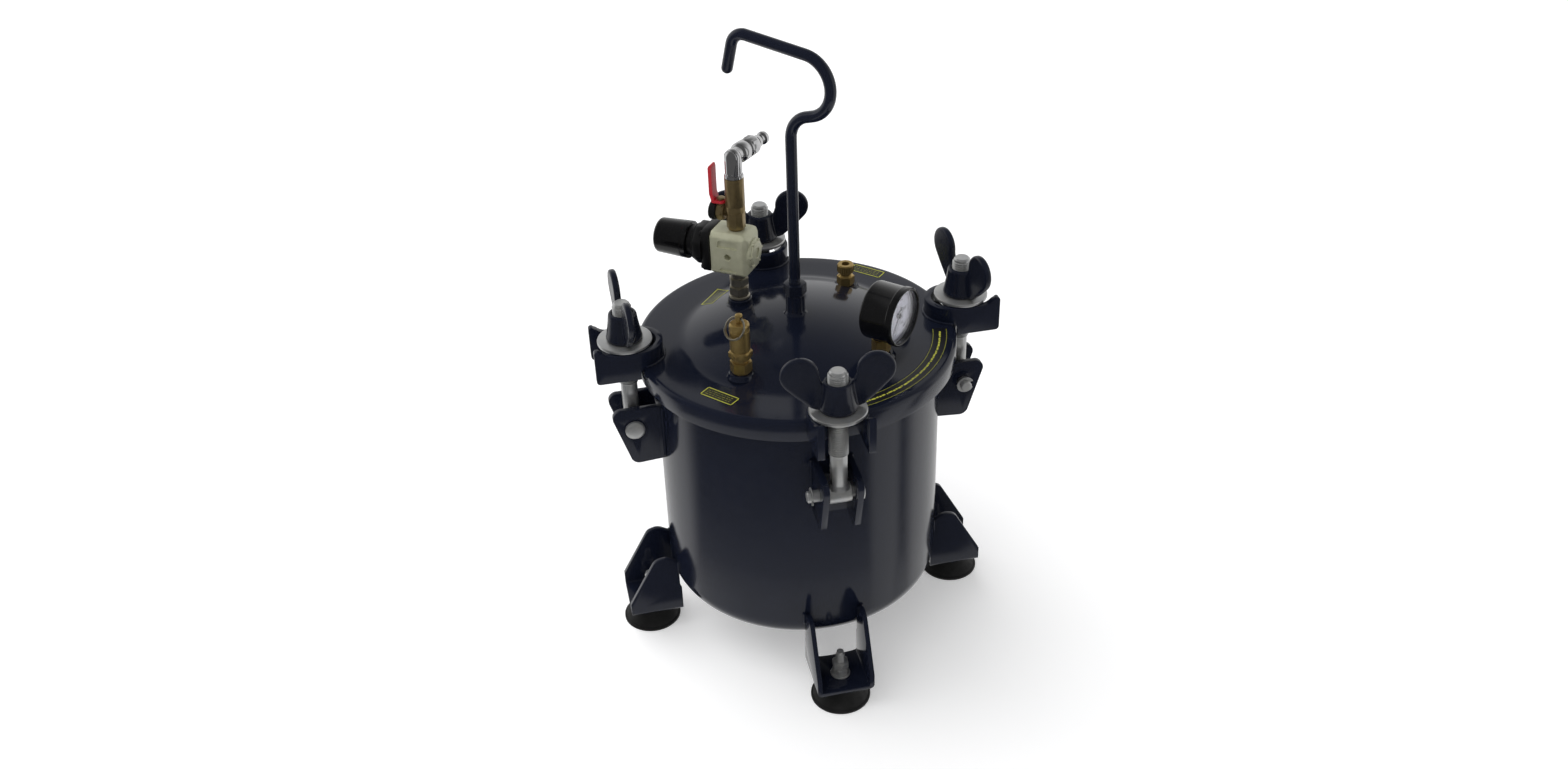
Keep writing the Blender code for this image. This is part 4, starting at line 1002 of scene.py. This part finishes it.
def makeGauge():
    g = gauge
    seat, below, r, depth = ports["Gauge"][2], g["z"] - g["r"] - 0.2, g["r"], g["far"] - g["near"]
    core = shank(seat) + [(6.8, seat + 0.3), (6.8, below), (0, below)]
    stem = together([spinPiece("core", core, 40), hexNut("hexa", 14, seat + 1.0, below - 1.0, 0, 15)],
            "gaugeStem")
    dress(onPort(stem, "Gauge"), "brass", "root", "gauge_stem")
    outline = [(0, 0), (r - 5.0, 0)] + bend(r - 3.4, 2.6, 2.6, -90, 0, 5) + [(r - 0.7, depth - 6.4),
            (r - 0.5, depth - 5.9), (r - 0.05, depth - 5.4), (r, depth - 4.8), (r, depth - 1.0),
            (r - 0.5, depth - 0.2), (r - 1.2, depth), (r - 2.0, depth - 0.2), (r - 2.6, depth - 1.2),
            (r - 2.6, depth - 6.4), (r - 3.2, depth - 8.4), (r - 3.2, 3), (0, 3)]
    case = fixPlace(layAlongX(spinPiece("gaugeCase", outline, 112, 28), g["z"]), move=(g["near"], 0, 0))
    neck = spinPiece("neck", [(0, g["z"] - r - 0.1), (7.8, g["z"] - r - 0.1), (7.8, g["z"] - r + 3.0),
            (0, g["z"] - r + 3.0)], 32)
    neck = fixPlace(neck, move=(ports["Gauge"][0], 0, 0))
    case = together([case, neck], "gaugeCase")
    dress(onGauge(case), "blackGloss", "root", "gauge_case")
    face = g["near"] + depth - 7.5
    dial = fixPlace(layAlongX(rod("gaugeDial", r - 2.7, face - 1, face, 96, 0.1), g["z"]))
    dress(onGauge(dial), "dialWhite", "root", "gauge_dial")

    marks = []
    first, end = -g["rest"] - 90, g["markEnd"]
    last = first - g["sweep"]
    for i in range(g["marks"] + 1):
        long = i % 10 == 0
        half = 0.34 if long else 0.16
        inner = 16.2 if long else (17.1 if i % 5 == 0 else 18.0)
        tick = slab("tick", [(inner, -half), (end, -half), (end, half), (inner, half)], 0.02, 0.1)
        marks.append(flatOnDial(fixPlace(tick, turn=(0, 0, first - i * g["sweep"] / g["marks"])), face))
    arc = bend(0, 0, end, first, last, 60) + bend(0, 0, end + 0.35, last, first, 60)
    marks.append(flatOnDial(slab("outerArc", arc, 0.02, 0.1), face))
    for i in range(6):
        deselectAll()
        bpy.ops.object.text_add()
        number = bpy.context.object
        number.data.body = str(i * 20)
        number.data.size = g["numberHigh"] * mm
        number.data.align_x = "CENTER"
        number.data.align_y = "CENTER"
        number.data.extrude = 0.05 * mm
        number.data.resolution_u = 3
        bpy.ops.object.convert(target="MESH")
        number = tidyFaces(bpy.context.object)
        fixPlace(number, move=(*spot((g["numberR"], first - i * g["sweep"] / 5)), 0.05))
        marks.append(flatOnDial(number, face))
    dress(onGauge(together(marks, "dialMarks")), "dialInk", "root")

    arm = slab("arm", softCorners([(-1.5, 7.5), (1.5, 7.5), (0.9, 0), (0.35, -17.6), (-0.35, -17.6),
            (-0.9, 0)], 0.3, 2), -0.25, 0.25)
    hub = spinPiece("hub", [(0, -1.0), (2.6, -1.0), (2.6, 0.6), (2.1, 1.0), (0, 1.0)], 32)
    needle = fixPlace(together([arm, hub], "gaugeNeedle"), turn=(0, 0, -g["rest"]))
    needle = flatOnDial(smooth(needle, 30), face + 1.8)
    dress(onGauge(needle), "dialInk", "gauge_needle", "gauge_needle")
    lens = layAlongX(rod("gaugeLens", r - 2.7, face + 4.4, face + 5.8, 96, 0.3), g["z"])
    dress(onGauge(lens), "clearGlass", "root", "gauge_lens")


makeGauge()
print("gauge made")


# vent

vent = {"hexFlats": 13.8, "ringR": 7.1, "knurls": 24}


def makeVent():
    seat = ports["Vent"][2]
    core = shank(seat) + [(6.7, seat + 0.3), (6.7, 300.6), (6.0, 301.6), (5.0, 302.4), (5.0, 303.6),
            (6.2, 304.2), (7.1, 305.0), (7.1, 311.6), (6.5, 312.5), (3.7, 312.5), (3.4, 312.2), (3.4, 302),
            (0, 302)]
    parts = [spinPiece("core", core, 56, 25), hexNut("hexa", vent["hexFlats"], seat + 1.0, 300.9, 0, 15)]
    for i in range(vent["knurls"]):
        rib = slab("rib", [(-0.45, -0.3), (0.45, -0.3), (0, 0.32)], 305.4, 311.2)
        fixPlace(rib, move=(0, vent["ringR"], 0))
        parts.append(fixPlace(rib, turn=(0, 0, 360 / vent["knurls"] * i)))
    dress(onPort(together(parts, "ventFitting"), "Vent"), "brass", "root", "vent_fitting")


makeVent()
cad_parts["lid_gasket"].material_slots[0].material = finishes["rubber"]
print("vent made")


# floor, light, camera

studio = {"floorColor": (0.9, 0.9, 0.905), "floorGlow": 0.28, "softSun": (2.1, (0.45, -0.35, -1.0)),
        "frontFill": (1.1, (0.35, 1.0, -0.8)), "softness": 70, "floorWide": 14, "lens": 34.58,
        "turn": -11.5, "rise": 33.15, "roll": -1.88, "away": 1.3145, "aimZ": 0.2319, "aimAside": -0.0119}
room = {"dark": 0.10, "back": 0.62, "low": 0.42, "side": 0.55, "backEdge": (0.02, -0.30),
        "topEdge": (0.18, 0.98), "lowEdge": (-0.60, -0.68), "sideTurn": 74, "sideEdge": (0.94, 0.99)}


def makeRoom():  # a dark studio with a white sweep behind and below, and one tall soft box at the right
    world = bpy.data.worlds.new("studio")
    bpy.context.scene.world = world
    world.use_nodes = True
    tree = world.node_tree
    link = tree.links.new

    def blendOf(value, edge):
        made = tree.nodes.new("ShaderNodeMapRange")
        made.interpolation_type = "SMOOTHSTEP"
        made.inputs["From Min"].default_value, made.inputs["From Max"].default_value = edge
        link(value, made.inputs["Value"])
        return made.outputs["Result"]

    def sums(kind, first, second):
        made = tree.nodes.new("ShaderNodeMath")
        made.operation = kind
        for socket, value in zip(made.inputs, (first, second)):
            if isinstance(value, float):
                socket.default_value = value
            else:
                link(value, socket)
        return made.outputs["Value"]

    place = tree.nodes.new("ShaderNodeTexCoord")
    heights = tree.nodes.new("ShaderNodeSeparateXYZ")
    link(place.outputs["Generated"], heights.inputs["Vector"])

    def vectors(kind, first, second=(0, 0, 0)):
        made = tree.nodes.new("ShaderNodeVectorMath")
        made.operation = kind
        made.inputs[1].default_value = second
        link(first, made.inputs[0])
        return made.outputs["Value" if kind == "DOT_PRODUCT" else "Vector"]

    direction = place.outputs["Generated"]
    front = math.radians(studio["turn"])
    ahead = vectors("DOT_PRODUCT", direction, (math.sin(front), -math.cos(front), 0))
    back = blendOf(ahead, room["backEdge"])
    under = sums("SUBTRACT", 1.0, blendOf(heights.outputs["Z"], room["topEdge"]))
    sweep = sums("MULTIPLY", sums("MULTIPLY", back, under), room["back"])
    low = sums("MULTIPLY", blendOf(heights.outputs["Z"], room["lowEdge"]), room["low"])
    aside = math.radians(studio["turn"] - 90 + room["sideTurn"])
    flat = vectors("NORMALIZE", vectors("MULTIPLY", direction, (1, 1, 0)))
    box = blendOf(vectors("DOT_PRODUCT", flat, (math.cos(aside), math.sin(aside), 0)), room["sideEdge"])
    side = sums("MULTIPLY", sums("MULTIPLY", box, under), room["side"])
    glow = sums("ADD", sums("MAXIMUM", sums("MAXIMUM", sweep, low), side), room["dark"])
    tree.nodes["Background"].inputs["Color"].default_value = (1, 1, 1, 1)
    link(glow, tree.nodes["Background"].inputs["Strength"])


def makeStudio():
    deselectAll()
    bpy.ops.mesh.primitive_plane_add(size=1)
    floor = bpy.context.object
    floor.name = "floor"
    bpy.ops.object.mode_set(mode="EDIT")
    bpy.ops.transform.resize(value=(studio["floorWide"], studio["floorWide"], 1))
    bpy.ops.object.mode_set(mode="OBJECT")
    material = bpy.data.materials.new("paleFloor")
    material.use_nodes = True
    shader = material.node_tree.nodes["Principled BSDF"]
    shader.inputs["Base Color"].default_value = (*studio["floorColor"], 1)
    shader.inputs["Roughness"].default_value = 0.6
    shader.inputs["Specular IOR Level"].default_value = 0.0
    shader.inputs["Emission Color"].default_value = (1, 1, 1, 1)
    shader.inputs["Emission Strength"].default_value = studio["floorGlow"]
    floor.data.materials.append(material)
    floor.visible_glossy = False
    for name in ("softSun", "frontFill"):
        power, heading = studio[name]
        light = bpy.data.lights.new(name, "SUN")
        light.energy = power
        light.angle = math.radians(studio["softness"])
        sun = bpy.data.objects.new(name, light)
        bpy.context.scene.collection.objects.link(sun)
        sun.rotation_euler = Vector(heading).to_track_quat("-Z", "Y").to_euler()
        sun.visible_glossy = False  # the room alone is seen in the paint


def makeCamera():
    s = studio
    turn, rise, roll = (math.radians(s[k]) for k in ("turn", "rise", "roll"))
    back = Vector((math.sin(turn) * math.cos(rise), -math.cos(turn) * math.cos(rise), math.sin(rise)))
    right = Vector((math.cos(turn), math.sin(turn), 0))
    up = back.cross(right)
    x = math.cos(roll) * right + math.sin(roll) * up
    y = -math.sin(roll) * right + math.cos(roll) * up
    place = Vector((0, 0, s["aimZ"])) + right * s["aimAside"] + back * s["away"]
    view = bpy.data.cameras.new("camera")
    view.lens = s["lens"]
    view.sensor_width = 36
    view.clip_start, view.clip_end = 0.05, 30
    camera = bpy.data.objects.new("camera", view)
    bpy.context.scene.collection.objects.link(camera)
    turned = Matrix((x, y, back)).transposed().to_4x4()
    camera.matrix_world = Matrix.Translation(place) @ turned
    bpy.context.scene.camera = camera


makeStudio()
makeRoom()
makeCamera()
bpy.context.scene.view_settings.view_transform = "Standard"
print("scene ready")
